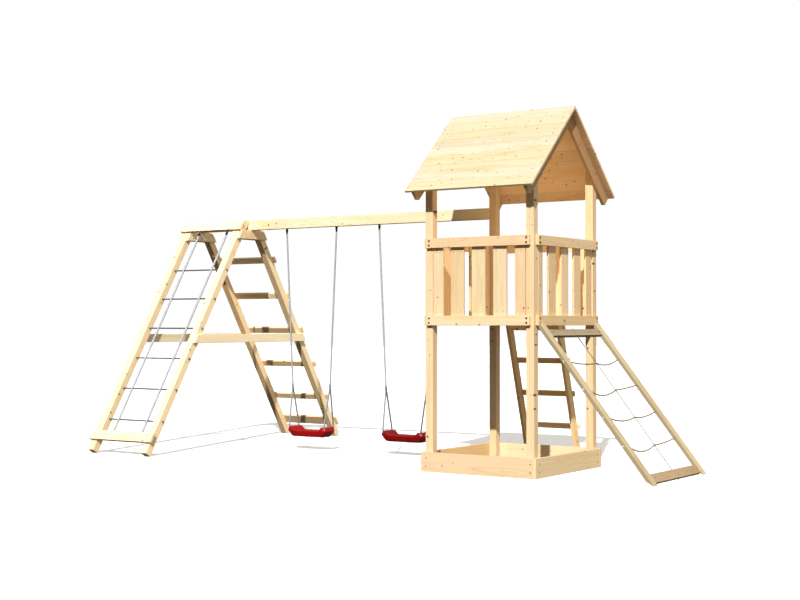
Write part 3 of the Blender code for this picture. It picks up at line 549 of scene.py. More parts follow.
def prism(name, outline, axis, low, high, grain, across, material, round_by=0.0022):
    """Board with rounded arrises: an outline in (y, z) or (x, y), extruded along "x" or "z"."""
    bm = bmesh.new()

    def row(depth):
        return [bm.verts.new((depth, a, b) if axis == "x" else (a, b, depth)) for a, b in outline]

    first = row(low)
    last = row(high)
    bm.faces.new(first)
    bm.faces.new(list(reversed(last)))
    for i in range(len(outline)):
        j = (i + 1) % len(outline)
        bm.faces.new((first[i], last[i], last[j], first[j]))
    bmesh.ops.recalc_face_normals(bm, faces=bm.faces)
    bmesh.ops.bevel(bm, geom=bm.edges[:], offset=round_by, offset_type="OFFSET", segments=2,
                    profile=0.5, affect="EDGES", clamp_overlap=True)
    obj = finish_mesh(name, bm, material)
    give_grain(obj, grain, across)
    return obj


def block(name, low, high, grain, across):
    """Spruce board between two corners."""
    outline = [(low[0], low[1]), (high[0], low[1]), (high[0], high[1]), (low[0], high[1])]
    return prism(name, outline, "z", low[2], high[2], grain, across, SPRUCE)


def dress(node, grain, across, material=SPRUCE):
    """Keep a solid as it is, with rounded arrises and wood laid along it."""
    obj = NODES[node]
    if not obj.data.materials:
        obj.data.materials.append(material)
    for slot in obj.material_slots:
        slot.material = material
    give_grain(obj, grain, across)
    colour_piece(obj)
    weld = obj.modifiers.new("weld", "WELD")
    weld.merge_threshold = 0.00001
    flat = obj.modifiers.new("planes", "DECIMATE")
    flat.decimate_type = "DISSOLVE"
    flat.angle_limit = math.radians(1)
    edge = obj.modifiers.new("arris", "BEVEL")
    edge.width = 0.0024
    edge.segments = 2
    edge.limit_method = "ANGLE"
    edge.angle_limit = math.radians(35)


def turned(name, centre, axis, profile, material, sides=16):
    """Round piece: profile is (height along the axis, radius) from one end to the other."""
    bm = bmesh.new()
    axis = axis.normalized()
    side = axis.orthogonal().normalized()
    up = axis.cross(side)
    rings = []
    for height, radius in profile:
        ring = []
        for k in range(sides):
            a = 2 * math.pi * k / sides
            out = side * math.cos(a) + up * math.sin(a)
            ring.append(bm.verts.new(centre + axis * height + out * radius))
        rings.append(ring)
    skin(bm, rings)
    obj = finish_mesh(name, bm, material, True)
    obj.data.set_sharp_from_angle(angle=math.radians(40))
    return obj


def smooth_path(points, step):
    """Evenly spaced points on a smooth curve through the given ones."""
    fine = 24               # points from one given point to the next
    dense = []
    count = len(points)
    for i in range(count - 1):
        p0 = points[max(i - 1, 0)]
        p1, p2 = points[i], points[i + 1]
        p3 = points[min(i + 2, count - 1)]
        for k in range(fine):
            t = k / fine
            dense.append(0.5 * ((2 * p1) + (p2 - p0) * t + (2 * p0 - 5 * p1 + 4 * p2 - p3) * t * t
                                + (3 * p1 - p0 - 3 * p2 + p3) * t ** 3))
    dense.append(points[-1])
    total = sum((b - a).length for a, b in zip(dense, dense[1:]))
    number = max(2, round(total / step))
    out = [dense[0]]
    target = total / number
    run = 0.0
    for a, b in zip(dense, dense[1:]):
        length = (b - a).length
        while run + length >= target * len(out) and len(out) < number:
            out.append(a.lerp(b, (target * len(out) - run) / max(length, 1e-9)))
        run += length
    out.append(dense[-1])
    return out


def rope(name, points, diameter, material, lay=None, strands=3, turn=0.0, sides=12):
    """Laid rope: its strands show as lobes that turn along its length.  Gives its ring centres too."""
    lay = lay or diameter * 2.3
    path = smooth_path(points, lay / 8)
    bm = bmesh.new()
    rings = []
    up = None
    run = 0.0
    for i, point in enumerate(path):
        tangent = (path[min(i + 1, len(path) - 1)] - path[max(i - 1, 0)]).normalized()
        up = (tangent.orthogonal() if up is None else up - tangent * up.dot(tangent)).normalized()
        side = tangent.cross(up)
        if i:
            run += (point - path[i - 1]).length
        twist = turn + 2 * math.pi * run / lay
        ring = []
        for k in range(sides):
            a = 2 * math.pi * k / sides
            lobe = abs(math.cos(strands * a / 2))
            r = diameter / 2 * (0.94 + 0.07 * lobe ** 0.6)
            b = a + twist
            ring.append(bm.verts.new(point + (up * math.cos(b) + side * math.sin(b)) * r))
        rings.append(ring)
    skin(bm, rings)
    return finish_mesh(name, bm, material, True), path


def strand(name, points, diameter, material, sides=8):
    """Short smooth length of rope, for knots and lashings."""
    return rope(name, points, diameter, material, diameter * 6, 1, 0.0, sides)[0]


def knot(name, centre, axis, size, diameter, material):
    """Overhand knot pulled tight, on a rope along the axis."""
    axis = axis.normalized()
    side = axis.orthogonal().normalized()
    up = axis.cross(side)
    points = []
    for i in range(25):
        t = 2 * math.pi * i / 24 + 0.4
        a = (math.sin(t) + 2 * math.sin(2 * t)) / 3
        b = (math.cos(t) - 2 * math.cos(2 * t)) / 3
        c = -math.sin(3 * t)
        points.append(centre + (side * a + up * b) * size + axis * (c * size * 0.55))
    return strand(name, points, diameter, material)


def hang(name, points, diameter, material, body, slot, on=(), replaced=(), turn=0.0):
    """A real length of rope with the pieces that are on it."""
    obj, path = rope(name, points, diameter, material, turn=turn)
    ride(obj, body, slot, *replaced)
    for piece in on:
        ride(piece, body, slot)


def join(name, pieces):
    """One piece from several with the same material."""
    bm = bmesh.new()
    for piece in pieces:
        bm.from_mesh(piece.data)
    obj = new_piece(name, bm, pieces[0].data.materials[0])
    for piece in pieces:
        old = piece.data
        bpy.data.objects.remove(piece, do_unlink=True)
        bpy.data.meshes.remove(old)
    return obj


# Tower: posts, sandpit boards and side panels
for node in ("post_front_left", "post_front_right", "post_rear_right", "post_rear_left"):
    dress(node, Z, X)
for node, grain in (("sandpit_board_front", X), ("sandpit_board_rear", X),
                    ("sandpit_board_right", Y), ("sandpit_board_left", Y)):
    dress(node, grain, Z)

# Where each slat starts from the tower's middle, and its width
FRONT_SLATS = [(-0.4200, 0.092), (-0.2540, 0.120), (-0.0600, 0.120), (0.1340, 0.120), (0.3280, 0.092)]
SIDE_SLATS = [(-0.4650, 0.070), (-0.2995, 0.120), (-0.0840, 0.120), (0.1315, 0.120), (0.3470, 0.096)]
REAR_SLATS = [(0.0450, 0.120), (0.2800, 0.120)]
SLAT_BACK = 0.0002          # between a rail and its slats
SLAT_IN = 0.006             # between a rail's far edge and the slats' ends
PANELS = {
    "front": ("y", -1, FRONT_SLATS),
    "right": ("x", 1, SIDE_SLATS),
    "rear": ("y", 1, REAR_SLATS),
    "left": ("x", -1, SIDE_SLATS),
}


def panel(label, face, sign, slats):
    """Two rails outside the posts and the slats behind them."""
    along = X if face == "y" else Y
    low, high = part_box("panel_" + label)
    outer = (low.y if sign < 0 else high.y) if face == "y" else (low.x if sign < 0 else high.x)
    inner = outer - sign * (BOARD - GAP)
    back = inner - sign * SLAT_T
    centre = TX if face == "y" else TY
    first, last = (low.x, high.x) if face == "y" else (low.y, high.y)

    def part(name, a, b, d0, d1, z0, z1, grain, across):
        d0, d1 = sorted((d0, d1))
        if face == "y":
            return block(name, (a, d0, z0), (b, d1, z1), grain, across)
        return block(name, (d0, a, z0), (d1, b, z1), grain, across)

    for rail, top in (("guard_rail", GUARD_TOP), ("deck_rail", DECK_RAIL_TOP)):
        obj = part("%s_%s" % (rail, label), first, last, outer, inner, top - RAIL_H, top, along, Z)
        ride(obj, "frame", "spruce", *(["panel_" + label] if rail == "guard_rail" else []))
    for i, (start, width) in enumerate(slats):
        obj = part("slat_%s_%d" % (label, i + 1), centre + start, centre + start + width,
                   inner - sign * SLAT_BACK, back, DECK_RAIL_TOP - RAIL_H + SLAT_IN, GUARD_TOP - SLAT_IN,
                   Z, along)
        ride(obj, "frame", "spruce")


for label, (face, sign, slats) in PANELS.items():
    panel(label, face, sign, slats)

# Deck boards across the joists
low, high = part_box("deck_boards")
board_w = (high.y - low.y) / DECK_BOARDS
DECK_SLIT = 0.0025          # from a board's edge to the middle of the slit
for i in range(DECK_BOARDS):
    y0 = low.y + board_w * i + DECK_SLIT
    y1 = low.y + board_w * (i + 1) - DECK_SLIT
    edge = i in (0, DECK_BOARDS - 1)
    half = HX - POST - GAP if edge else (high.x - low.x) / 2
    obj = block("deck_board_%d" % (i + 1), (TX - half, y0, DECK_Z - DECK_T), (TX + half, y1, DECK_Z), X, Y)
    ride(obj, "frame", "spruce", *(["deck_boards"] if i == 0 else []))
low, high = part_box("deck_frame")
for i, x0 in enumerate((low.x, high.x - JOIST_W)):
    obj = block("deck_bearer_%d" % (i + 1), (x0, low.y, low.z), (x0 + JOIST_W, high.y, high.z), Y, Z)
    ride(obj, "frame", "spruce", *(["deck_frame"] if i == 0 else []))
for i, y0 in enumerate((low.y, TY - JOIST_W / 2, high.y - JOIST_W)):
    obj = block("deck_joist_%d" % (i + 1), (low.x + JOIST_W + GAP, y0, low.z),
                (high.x - JOIST_W - GAP, y0 + JOIST_W, high.z), X, Z)
    ride(obj, "frame", "spruce")

# Roof boards and rafters
ROOF_SLOPE = math.atan2(RIDGE_Z - EAVE_Z, EAVE_Y)
SLOPE_LEN = math.hypot(EAVE_Y, RIDGE_Z - EAVE_Z)
ROOF_JOINT = 0.0004         # half the joint between two boards
TAIL_BACK = 0.004           # a rafter ends this far before the roof's edge


def slope_point(s, depth, side):
    """Point on a slope: s down from the ridge, depth below its surface, as (y, z)."""
    y = s * math.cos(ROOF_SLOPE) - depth * math.sin(ROOF_SLOPE)
    return (TY + side * y, RIDGE_Z - s * math.sin(ROOF_SLOPE) - depth * math.cos(ROOF_SLOPE))


def slope_ways(side):
    """Directions down a slope and straight out of it."""
    return (Vector((0, side * math.cos(ROOF_SLOPE), -math.sin(ROOF_SLOPE))),
            Vector((0, side * math.sin(ROOF_SLOPE), math.cos(ROOF_SLOPE))))


for label, side in FRONT_REAR:
    low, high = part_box("roof_" + label)
    for i in range(ROOF_BOARDS):
        s0 = SLOPE_LEN * i / ROOF_BOARDS + ROOF_JOINT
        s1 = SLOPE_LEN * (i + 1) / ROOF_BOARDS - (ROOF_JOINT if i < ROOF_BOARDS - 1 else 0.0)
        outline = [slope_point(s0, 0, side), slope_point(s1, 0, side), slope_point(s1, ROOF_T, side)]
        if i:
            outline.append(slope_point(s0, ROOF_T, side))
        else:
            outline.append((TY + side * GAP, RIDGE_Z - ROOF_T / math.cos(ROOF_SLOPE) - GAP))
        obj = prism("roof_board_%s_%d" % (label, i + 1), outline, "x", low.x, high.x,
                    X, slope_ways(side)[0], ROOFING, 0.0016)
        ride(obj, "frame", "spruce_roof", *(["roof_" + label] if i == 0 else []))


def rafter_outline(side):
    """Under the roof boards from the ridge to the tail, which is cut off level."""
    top = ROOF_T + GAP
    low = top + RAFTER_H
    tail = SLOPE_LEN - TAIL_BACK
    end = slope_point(tail, top, side)
    drop = (end[1] - TAIL_CUT_Z) / math.cos(ROOF_SLOPE)
    reach = (slope_point(0, low, side)[1] - TAIL_CUT_Z) / math.sin(ROOF_SLOPE)
    middle = TY + side * GAP
    return [(middle, RIDGE_Z - top / math.cos(ROOF_SLOPE)), end, slope_point(tail, top + drop, side),
            slope_point(reach, low, side), (middle, RIDGE_Z - low / math.cos(ROOF_SLOPE))]


for label in ("left", "right"):
    low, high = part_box("rafters_" + label)
    for end, side in FRONT_REAR:
        obj = prism("rafter_%s_%s" % (label, end), rafter_outline(side), "x", low.x, high.x,
                    *slope_ways(side), SPRUCE)
        ride(obj, "frame", "spruce", *(["rafters_" + label] if side < 0 else []))

# Ladder
ladder_along = Vector((0, -math.sin(LADDER_LEAN), math.cos(LADDER_LEAN)))
for node in ("ladder_stringer_left", "ladder_stringer_right"):
    dress(node, ladder_along, Y)
for i in range(4):
    dress("ladder_rung_%d" % (i + 1), X, ladder_along)

# Ramp
RAMP_SLOPE = math.atan2(RAMP_TOP_Z, RAMP_RUN)
ramp_dir = Vector((math.cos(RAMP_SLOPE), 0, -math.sin(RAMP_SLOPE)))
ramp_out = Vector((math.sin(RAMP_SLOPE), 0, math.cos(RAMP_SLOPE)))
for node in ("ramp_rail_front", "ramp_rail_rear"):
    dress(node, ramp_dir, Y, RAMP_WOOD)
dress("ramp_board_top", Y, ramp_dir, RAMP_WOOD)
dress("ramp_board_bottom", Y, ramp_dir, RAMP_WARM)


def ramp_point(t, y=0.0):
    """Point at t down the slope, in the middle of the ramp's thickness."""
    p = Vector((RAMP_X, 0, RAMP_TOP_Z)) + ramp_dir * t - ramp_out * (BOARD / 2)
    return Vector((p.x, TY + y, p.z))


inner = RAMP_HALF - RAMP_RAIL_W
ROPE_OUT = 0.010            # a rope's end beyond the rail or leg that it goes through
SAG_STEPS = 7
for i, (t, sags) in enumerate(zip(RAMP_STEPS, RAMP_SAGS)):
    near, far = ramp_point(t, -inner), ramp_point(t, inner)
    tie_at = ramp_point(t + RAMP_SLIP)
    run = [ramp_point(t, -RAMP_HALF - ROPE_OUT), ramp_point(t, -inner - 0.02), near]
    for start, stop, sag in ((near, tie_at, sags[0]), (tie_at, far, sags[1])):
        for k in range(1, SAG_STEPS + 1):
            share = k / SAG_STEPS
            run.append(start.lerp(stop, share) - Z * sag * 4 * share * (1 - share))
    run += [ramp_point(t, inner + 0.02), ramp_point(t, RAMP_HALF + ROPE_OUT)]
    on = [knot("ramp_knot_%d_%s" % (i + 1, label), ramp_point(t, end * (RAMP_HALF + 0.011)),
               Y, 0.0068, 0.0088, NET_ROPE) for label, end in FRONT_REAR]
    on.append(knot("ramp_tie_%d" % (i + 1), tie_at, Y, 0.0076, 0.0080, HEMP))
    hang("ramp_rope_%d" % (i + 1), run, RAMP_ROPE_D, HEMP, "frame", "grey_rope", on,
         ["ramp_net"] if i == 0 else (), i * 1.3)
centre = [0.061, 0.10, 0.145, 0.26]
for t in RAMP_STEPS:
    centre += [t + RAMP_SLIP, t + RAMP_SLIP + 0.13]
centre += [1.41, 1.46, 1.502]
on = [knot("ramp_cord_knot_top", ramp_point(0.060), ramp_dir, 0.0048, 0.0054, HEMP),
      knot("ramp_cord_knot_low", ramp_point(1.5030), ramp_dir, 0.0038, 0.0046, HEMP)]
hang("ramp_cord", [ramp_point(t) for t in centre], RAMP_CORD_D, HEMP, "frame", "grey_rope",
     on)

# Swing beam and climbing frame
dress("swing_beam", X, Z)
leg_sin, leg_cos = math.sin(LEAN), math.cos(LEAN)


def leg_point(s, x, depth=POST / 2):
    """Point of a front leg: s up along it, depth in from its outer face."""
    y = -FOOT_HALF + s * leg_sin + depth * leg_cos
    return Vector((x, y, POST * leg_sin + s * leg_cos - depth * leg_sin))


for end, side in (("front", -1), ("back", 1)):
    leg_dir = Vector((0, -side * leg_sin, leg_cos))
    for label in ("near", "far"):
        dress("leg_%s_%s" % (label, end), leg_dir, X)
for label in ("near", "far"):
    dress("crossbar_" + label, Y, Z)
    for place in ("outer", "inner"):
        dress("head_plate_%s_%s" % (label, place), Y, Z)
up_front = Vector((0, leg_sin, leg_cos))
up_back = Vector((0, -leg_sin, leg_cos))
dress("net_board_top", X, up_front)
dress("net_board_bottom", X, up_front)
dress("back_board_bottom", X, up_back)
for i in range(5):
    dress("back_rung_%d" % (i + 1), X, up_back)

net_mid = (NEAR_X + FAR_X - POST) / 2
for label, sign in LEFT_RIGHT:
    x = net_mid + sign * NET_HALF
    run = [leg_point(0.125, x, 0.020), *(leg_point(s, x) for s in (0.229, 0.6, 1.2, 1.9, 2.3654)),
           leg_point(2.440, x, 0.022)]
    sleeve = turned("net_sleeve_" + label, leg_point(2.394, x, 0.0295), up_front,
                    [(-0.012, 0.0086), (-0.010, 0.0104), (0.010, 0.0104), (0.012, 0.0086)], DARK_STEEL)
    hang("net_long_rope_" + label, run, NET_LONG_D, NET_ROPE, "frame", "white_rope",
         [sleeve], ["climbing_net"] if sign < 0 else (), sign * 2.0)
for i, s in enumerate(NET_STEPS):
    run = [leg_point(s, x) for x in (FAR_X - POST - ROPE_OUT, FAR_X - POST, FAR_X, FAR_X + 0.2, net_mid,
                                     NEAR_X - POST - 0.2, NEAR_X - POST, NEAR_X, NEAR_X + ROPE_OUT)]
    on = [knot("net_knot_%d_%s" % (i + 1, label), leg_point(s, x), X, 0.0084, 0.0098, SHADED_NET_ROPE)
          for label, x in (("far", FAR_X - POST - 0.0105), ("near", NEAR_X + 0.0105))]
    hang("net_cross_rope_%d" % (i + 1), run, NET_CROSS_D, SHADED_NET_ROPE, "frame", "white_rope",
         on, turn=i * 0.9)


# Swings
LASH_TURNS = 8
LASH_STEPS = 10             # points in one turn
LASH_TOP = 0.024            # above and below the split
LASH_LOW = 0.022
LASH_R = 0.0094             # middle of the lashing's rope, round the two strands


def swing_ropes(number, mid_x):
    """Two ropes, each hung from its hook by a thimble eye and splitting in two above the seat."""
    body = "swing_%d" % number
    for label, sign in LEFT_RIGHT:
        hx = mid_x + sign * HANG_HALF
        split = Vector((mid_x + sign * SPLIT_HALF, 0, SPLIT_Z))
        top = Vector((hx, 0, PIN_Z - 0.012))
        wrap = []
        for i in range(LASH_TURNS * LASH_STEPS + 1):
            a = 2 * math.pi * i / LASH_STEPS
            h = LASH_TOP - (LASH_TOP + LASH_LOW) * i / (LASH_TURNS * LASH_STEPS)
            wide = LASH_R + 0.0012 * max(0.0, -h / LASH_LOW)
            wrap.append(split + Vector((sign * h * 0.05 + math.cos(a) * LASH_R, math.sin(a) * wide, h)))
        lashing = strand("swing_%d_lashing_%s" % (number, label), wrap, 0.0054, SWING_ROPE, 6)
        hang("swing_%d_main_rope_%s" % (number, label),
             [top, top.lerp(split, 0.3), top.lerp(split, 0.7), split - Z * 0.012],
             SWING_D, SWING_ROPE, body, "white_rope", [lashing],
             ["swing_%d_rope_%s" % (number, label)], number + sign)
        for place, y_sign in FRONT_REAR:
            hole = Vector((mid_x + sign * SEAT_HOLE_X, y_sign * SEAT_HOLE_Y, SEAT_BOTTOM + SEAT_WING))
            start = split + Vector((0, y_sign * 0.003, -0.004))
            aim = hole + Z * 0.02
            run = [start, start.lerp(aim, 0.35), start.lerp(aim, 0.75), hole + Z * 0.014, hole,
                   hole - Z * 0.010]
            end = "%d_%s_%s" % (number, label, place)
            on = [knot("swing_end_knot_" + end, hole - Z * 0.0145, Z, 0.0052, 0.0062, SWING_ROPE),
                  knot("swing_stop_knot_" + end, hole + Z * 0.0125, Z, 0.0062, 0.0072, SWING_ROPE)]
            hang("swing_strand_" + end, run, STRAND_D, SWING_ROPE, body, "white_rope", on,
                 turn=y_sign * 2.0)
        eye = [turned("eye", Vector((hx, 0, PIN_Z)), X,
                      [(-0.0046, 0.0094), (-0.0032, 0.0100), (0.0032, 0.0100), (0.0046, 0.0094)],
                      DARK_STEEL, 24),
               turned("ferrule", Vector((hx, 0, PIN_Z - 0.008)), -Z,
                      [(0.0, 0.0054), (0.003, 0.0092), (0.012, 0.0098), (0.014, 0.0092)], DARK_STEEL)]
        ride(join("swing_%d_eye_%s" % (number, label), eye), body, "dark_steel")


# A seat's wall from the edge of its top to its foot: inset from the widest outline at its sides and
# at its ends, and whether the height counts down from the top, from the rim line or up from the foot
SEAT_WALL = [(0.0100, 0.0120, "top", 0.0), (0.0085, 0.0100, "top", -0.0008),
             (0.0070, 0.0080, "top", -0.0030), (0.0008, 0.0010, "rim", 0.0020),
             (0.0, 0.0, "rim", -0.0010), (0.0004, 0.0010, "rim", -0.0050),
             (0.0036, 0.0180, "foot", 0.0340), (0.0078, 0.0360, "foot", 0.0140),
             (0.0110, 0.0470, "foot", 0.0045), (0.0150, 0.0540, "foot", 0.0)]
WING_START = 0.56           # the wings begin at this share of the seat's half length
WING_SHARE = 0.17           # and have risen over this share of it
RIM_Z = 0.060               # the rim line over the seat's foot, and how far below the top it stays
RIM_BELOW = 0.006
DISH = 0.011                # how deep the middle is dished


def seat_rise(x):
    """From 0 in the low middle to 1 on the raised wings."""
    share = min(max((abs(x) / (SEAT_L / 2) - WING_START) / WING_SHARE, 0.0), 1.0)
    return share * share * (3 - 2 * share)


def seat(number, mid_x):
    """Boat-shaped moulded seat: one skin, open below, with leaning walls, wings and a dished middle."""
    stations = 36
    xs = []
    for i in range(stations + 1):
        u = 2 * i / stations - 1
        xs.append(math.copysign(1 - (1 - abs(u)) ** 2.0, u) * 0.55 + u * 0.45)
    outline = []
    for i in list(range(stations + 1)) + list(range(stations - 1, 0, -1)):
        outline.append(Vector((xs[i] * SEAT_L / 2, (1 - abs(xs[i]) ** 9) ** 0.42 * SEAT_D / 2, 0)))
    for i in range(stations + 1):
        outline[i].y *= -1
    bm = bmesh.new()

    def ring(side_in, end_in, kind, height, squeeze=1.0):
        made = []
        for p in outline:
            x = p.x * (1 - end_in / (SEAT_L / 2))
            y = p.y * (1 - side_in / (SEAT_D / 2)) * squeeze
            rise = seat_rise(x)
            top = SEAT_MID + (SEAT_WING - SEAT_MID) * rise
            if kind == "foot":
                z = height
            elif kind == "rim":
                z = min(RIM_Z, top - RIM_BELOW) + height
            else:
                z = top + height - DISH * (1 - 0.85 * rise) * (1 - squeeze * squeeze)
            made.append(bm.verts.new((mid_x + x, y, SEAT_BOTTOM + z)))
        return made

    rows = [ring(*SEAT_WALL[0], squeeze) for squeeze in (0.0, 0.25, 0.5, 0.72, 0.88)]
    rows += [ring(*level) for level in SEAT_WALL]
    skin(bm, rows, False)
    bmesh.ops.remove_doubles(bm, verts=bm.verts, dist=0.00002)
    bmesh.ops.dissolve_degenerate(bm, edges=bm.edges, dist=0.00002)
    obj = finish_mesh("swing_%d_moulded_seat" % number, bm, RED, True)
    wall = obj.modifiers.new("wall", "SOLIDIFY")
    wall.thickness = 0.0045
    wall.offset = -1.0
    ride(obj, "swing_%d" % number, "red_plastic", "swing_%d_seat" % number)
    rings = []
    for sx, sy in CORNERS:
        at = Vector((mid_x + sx * SEAT_HOLE_X, sy * SEAT_HOLE_Y, SEAT_BOTTOM + SEAT_WING - 0.001))
        rings.append(turned("ring", at, Z, [(-0.0005, 0.0092), (0.0018, 0.0088), (0.0026, 0.0076),
                                            (0.0020, 0.0064), (-0.0005, 0.0060)], RED, 20))
    ride(join("swing_%d_seat_collars" % number, rings), "swing_%d" % number, "red_plastic")


EAR_R = 0.0078              # an ear's round end about the pin


def hook(number, label, hx):
    """Steel hook under the beam: a round flange, two ears and a pin with its heads."""
    top = BEAM_BOTTOM - GAP
    pieces = [turned("flange", Vector((hx, 0, top)), -Z,
                     [(0.0, 0.0100), (0.0020, 0.0104), (0.0028, 0.0098), (0.0032, 0.0080)],
                     DARK_STEEL, 24)]
    round_pin = [math.radians(200 + 14 * k) for k in range(11)]
    outline = [(0.0080, top - 0.002), (-0.0080, top - 0.002)]
    outline += [(math.cos(a) * EAR_R, PIN_Z + math.sin(a) * EAR_R) for a in round_pin]
    for sign in (-1, 1):
        a, b = sorted((hx + sign * 0.0054, hx + sign * 0.0084))
        pieces.append(prism("ear", outline, "x", a, b, Z, Y, DARK_STEEL, 0.0006))
    pieces.append(turned("pin", Vector((hx - 0.0112, 0, PIN_Z)), X,
                         [(0.0, 0.0040), (0.0010, 0.0050), (0.0026, 0.0050), (0.0026, 0.0036),
                          (0.0198, 0.0036), (0.0198, 0.0050), (0.0214, 0.0050), (0.0224, 0.0040)],
                         DARK_STEEL))
    ride(join("swing_%d_hanger_%s" % (number, label), pieces), "frame", "dark_steel",
         "hook_%d_%s" % (number, label))


for number, mid_x in SWINGS.items():
    swing_ropes(number, mid_x)
    seat(number, mid_x)
    for label, sign in LEFT_RIGHT:
        hook(number, label, mid_x + sign * HANG_HALF)

# Fasteners: heads of screws, bolts and nails
HEAD = [(-0.002, 0.0052), (0.0006, 0.0052), (0.0016, 0.0040), (0.0018, 0.0010)]
CAP = [(-0.002, 0.0078), (0.0022, 0.0078), (0.0036, 0.0068), (0.0040, 0.0030)]
NAIL = [(-0.001, 0.0030), (0.0004, 0.0030), (0.0007, 0.0015)]
heads = []


def head(point, axis, profile=HEAD, sides=10):
    heads.append(turned("head", Vector(point), axis, profile, BOLT, sides))


def head_on(node, at, normal, profile=HEAD):
    """A head on the face of a sloping board, out from a point of its middle."""
    face = max(v.co.dot(normal) for v in NODES[node].data.vertices)
    head(at + normal * (face - at.dot(normal)), normal, profile)


# Rails, slats and sandpit boards
RAIL_BOLT_X = 0.443         # from the tower's middle to the bolts in the rails
RAIL_BOLT_Y = 0.488
BOLT_UP = 0.018             # from a rail's middle line up and down to its bolts
SLAT_NAIL_IN = 0.026        # from a slat's edge to its nails
PIT_SCREW_Z = (0.045, 0.110)
for top in (GUARD_TOP, DECK_RAIL_TOP):
    for z in (top - RAIL_H / 2 - BOLT_UP, top - RAIL_H / 2 + BOLT_UP):
        for sx, sy in CORNERS:
            head((TX + sx * RAIL_BOLT_X, TY + sy * (HY + BOARD), z), Y * sy, CAP)
            head((TX + sx * (HX + BOARD), TY + sy * RAIL_BOLT_Y, z), X * sx, CAP)
for label, (face, sign, slats) in PANELS.items():
    depth = (HY if face == "y" else HX) + 0.0001
    for start, width in slats:
        for a in (start + SLAT_NAIL_IN, start + width - SLAT_NAIL_IN):
            for z in (DECK_RAIL_TOP + 0.030, GUARD_TOP - RAIL_H - 0.035):
                if face == "y":
                    head((TX + a, TY + sign * depth, z), Y * sign, NAIL)
                else:
                    head((TX + sign * depth, TY + a, z), X * sign, NAIL)
for sx, sy in CORNERS:
    for z in PIT_SCREW_Z:
        head((TX + sx * (HX - 0.020), TY + sy * (HY + BOARD), z), Y * sy)
        head((TX + sx * (HX + BOARD), TY + sy * (HY - 0.034), z), X * sx)

# Head of the right front post, and the beam's near end
for z in (1.945, 2.085):
    for x in (HX - 0.052, HX - 0.014):
        head((TX + x, TY - HY, z), -Y, NAIL)
for z in (2.100, 2.160):
    head((NEAR_X, -0.085, z), X)

# Climbing frame
for node in ("crossbar_near", "crossbar_far", "head_plate_near_outer", "head_plate_far_outer"):
    low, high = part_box(node)
    for end in (-1, 1):
        for z in (low.z + 0.022, high.z - 0.022):
            reach = FOOT_HALF - (z - POST * leg_sin) * math.tan(LEAN) - 0.030
            head((high.x, end * reach, z), X, NAIL)
for node, side in (("net_board_top", -1), ("net_board_bottom", -1), ("back_board_bottom", 1),
                   *(("back_rung_%d" % (i + 1), 1) for i in range(5))):
    low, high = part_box(node)
    middle = (low + high) / 2
    for x in (FAR_X - POST / 2, NEAR_X - POST / 2):
        head_on(node, Vector((x, middle.y, middle.z)), Vector((0, side * leg_cos, leg_sin)), NAIL)

# Ramp and roof
for node in ("ramp_board_top", "ramp_board_bottom"):
    low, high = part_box(node)
    middle = (low + high) / 2
    for y in (low.y + 0.035, high.y - 0.035):
        head_on(node, Vector((middle.x, y, middle.z)), ramp_out)
for side in (-1, 1):
    for i in range(ROOF_BOARDS):
        for share in (0.25, 0.75):
            y, z = slope_point(SLOPE_LEN * (i + share) / ROOF_BOARDS, 0, side)
            for label in ("left", "right"):
                low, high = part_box("rafters_" + label)
                head(((low.x + high.x) / 2, y, z), slope_ways(side)[1], NAIL, 6)
ride(join("fasteners", heads), "frame", "dark_steel")

# The ramp throws no shadow on the tower in the photograph
for obj in bpy.context.scene.objects:
    if obj.name.startswith("ramp_"):
        obj.visible_shadow = False

# Floor, backdrop, light and camera
bm = bmesh.new()
bmesh.ops.create_circle(bm, cap_ends=True, segments=96, radius=60.0)
ground = Graph("floor")
pale = ground.mix(ground.noise(ground.place(), 1.5), (0.88, 0.88, 0.88, 1), (0.91, 0.91, 0.91, 1))
ground.surface(Base_Color=pale, Emission_Color=pale, Emission_Strength=0.36, Roughness=0.9)
floor = finish_mesh("floor", bm, ground.mat)
floor.location = (0, 0, -0.0005)
floor.visible_diffuse = False
floor.visible_glossy = False
floor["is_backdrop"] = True

bm = bmesh.new()
bmesh.ops.create_uvsphere(bm, u_segments=48, v_segments=24, radius=70.0)
white = Graph("backdrop")
white.surface(Base_Color=(0, 0, 0, 1), Emission_Color=(1, 1, 1, 1), Emission_Strength=1.0)
backdrop = finish_mesh("backdrop", bm, white.mat, True)
for ray in ("visible_diffuse", "visible_glossy", "visible_transmission", "visible_shadow"):
    setattr(backdrop, ray, False)
backdrop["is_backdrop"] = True

# Soft light from all round, a little stronger from above, behind and the right, and warm as wood makes it
world = bpy.data.worlds.new("studio")
bpy.context.scene.world = world
world.use_nodes = True
sky = world.node_tree
toward = sky.nodes.new("ShaderNodeTexCoord")
lean = sky.nodes.new("ShaderNodeVectorMath")
lean.operation = "DOT_PRODUCT"
lean.inputs[1].default_value = (0.20, 0.14, 0.18)
level = sky.nodes.new("ShaderNodeMath")
level.inputs[1].default_value = 0.292
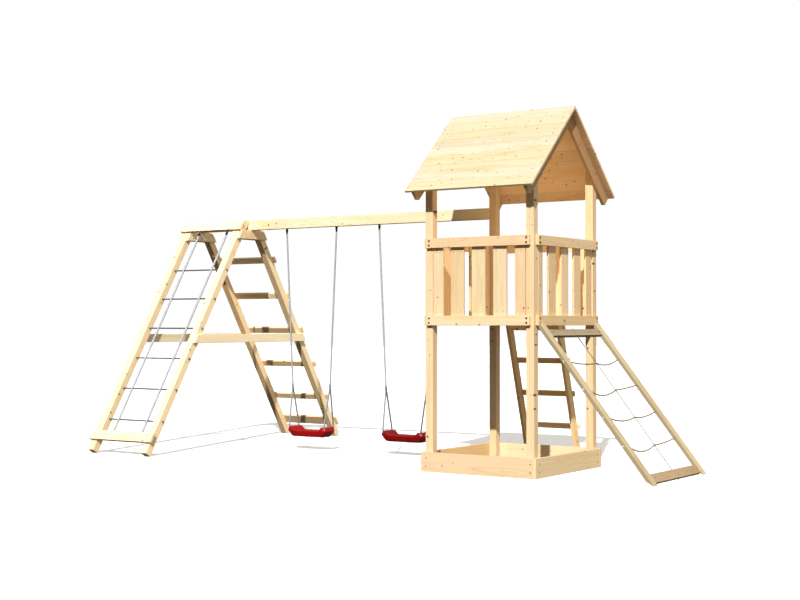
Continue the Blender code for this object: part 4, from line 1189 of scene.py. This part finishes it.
sky.links.new(toward.outputs["Generated"], lean.inputs[0])
sky.links.new(lean.outputs["Value"], level.inputs[0])
sky.links.new(level.outputs[0], sky.nodes["Background"].inputs["Strength"])
sky.nodes["Background"].inputs["Color"].default_value = (1.0, 0.94, 0.84, 1.0)
sun = bpy.data.objects.new("sun", bpy.data.lights.new("sun", "SUN"))
sun.data.energy = 5.6
sun.data.angle = math.radians(0.8)
sun.data.color = (1.0, 0.99, 0.97)
sun.rotation_euler = Vector((0.43, -1.0, 0.87)).to_track_quat("Z", "Y").to_euler()
bpy.context.scene.collection.objects.link(sun)

# Warm fills inside the tower, as from its sunlit boards: under the roof, in the cabin and under the deck
for name, x, y, z, aim, energy, colour in (
        ("fill_roof", 0.0, -0.22, GUARD_TOP + 0.03, (0, 0.5, 0.87), 2.4, (1.0, 0.71, 0.38)),
        ("fill_cabin", 0.24, -0.15, DECK_Z + 0.28, (-0.75, 0.6, 0.25), 2.9, (1.0, 0.74, 0.44)),
        ("fill_deck", 0.0, -0.20, 0.03, (0, 0.4, 0.9), 1.8, (1.0, 0.80, 0.60))):
    fill = bpy.data.objects.new(name, bpy.data.lights.new(name, "AREA"))
    fill.data.size = 0.50
    fill.data.energy = energy
    fill.data.color = colour
    fill.location = (TX + x, TY + y, z)
    fill.rotation_euler = Vector(aim).to_track_quat("-Z", "Y").to_euler()
    fill.visible_camera = False
    bpy.context.scene.collection.objects.link(fill)
bpy.context.scene.view_settings.view_transform = "Standard"

PHOTO_W = 800
FOCAL_PX = 1417.27
SENSOR_W = 36.0
camera = bpy.data.objects.new("camera", bpy.data.cameras.new("camera"))
camera.data.sensor_width = SENSOR_W
camera.data.lens = FOCAL_PX * SENSOR_W / PHOTO_W
camera.data.clip_start = 0.1
camera.data.clip_end = 200.0
camera.location = (6.954, -10.608, 1.196)
camera.rotation_euler = (math.radians(90 + 0.9013), 0.0, math.radians(34.0104))
bpy.context.scene.collection.objects.link(camera)
bpy.context.scene.camera = camera

low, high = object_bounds()
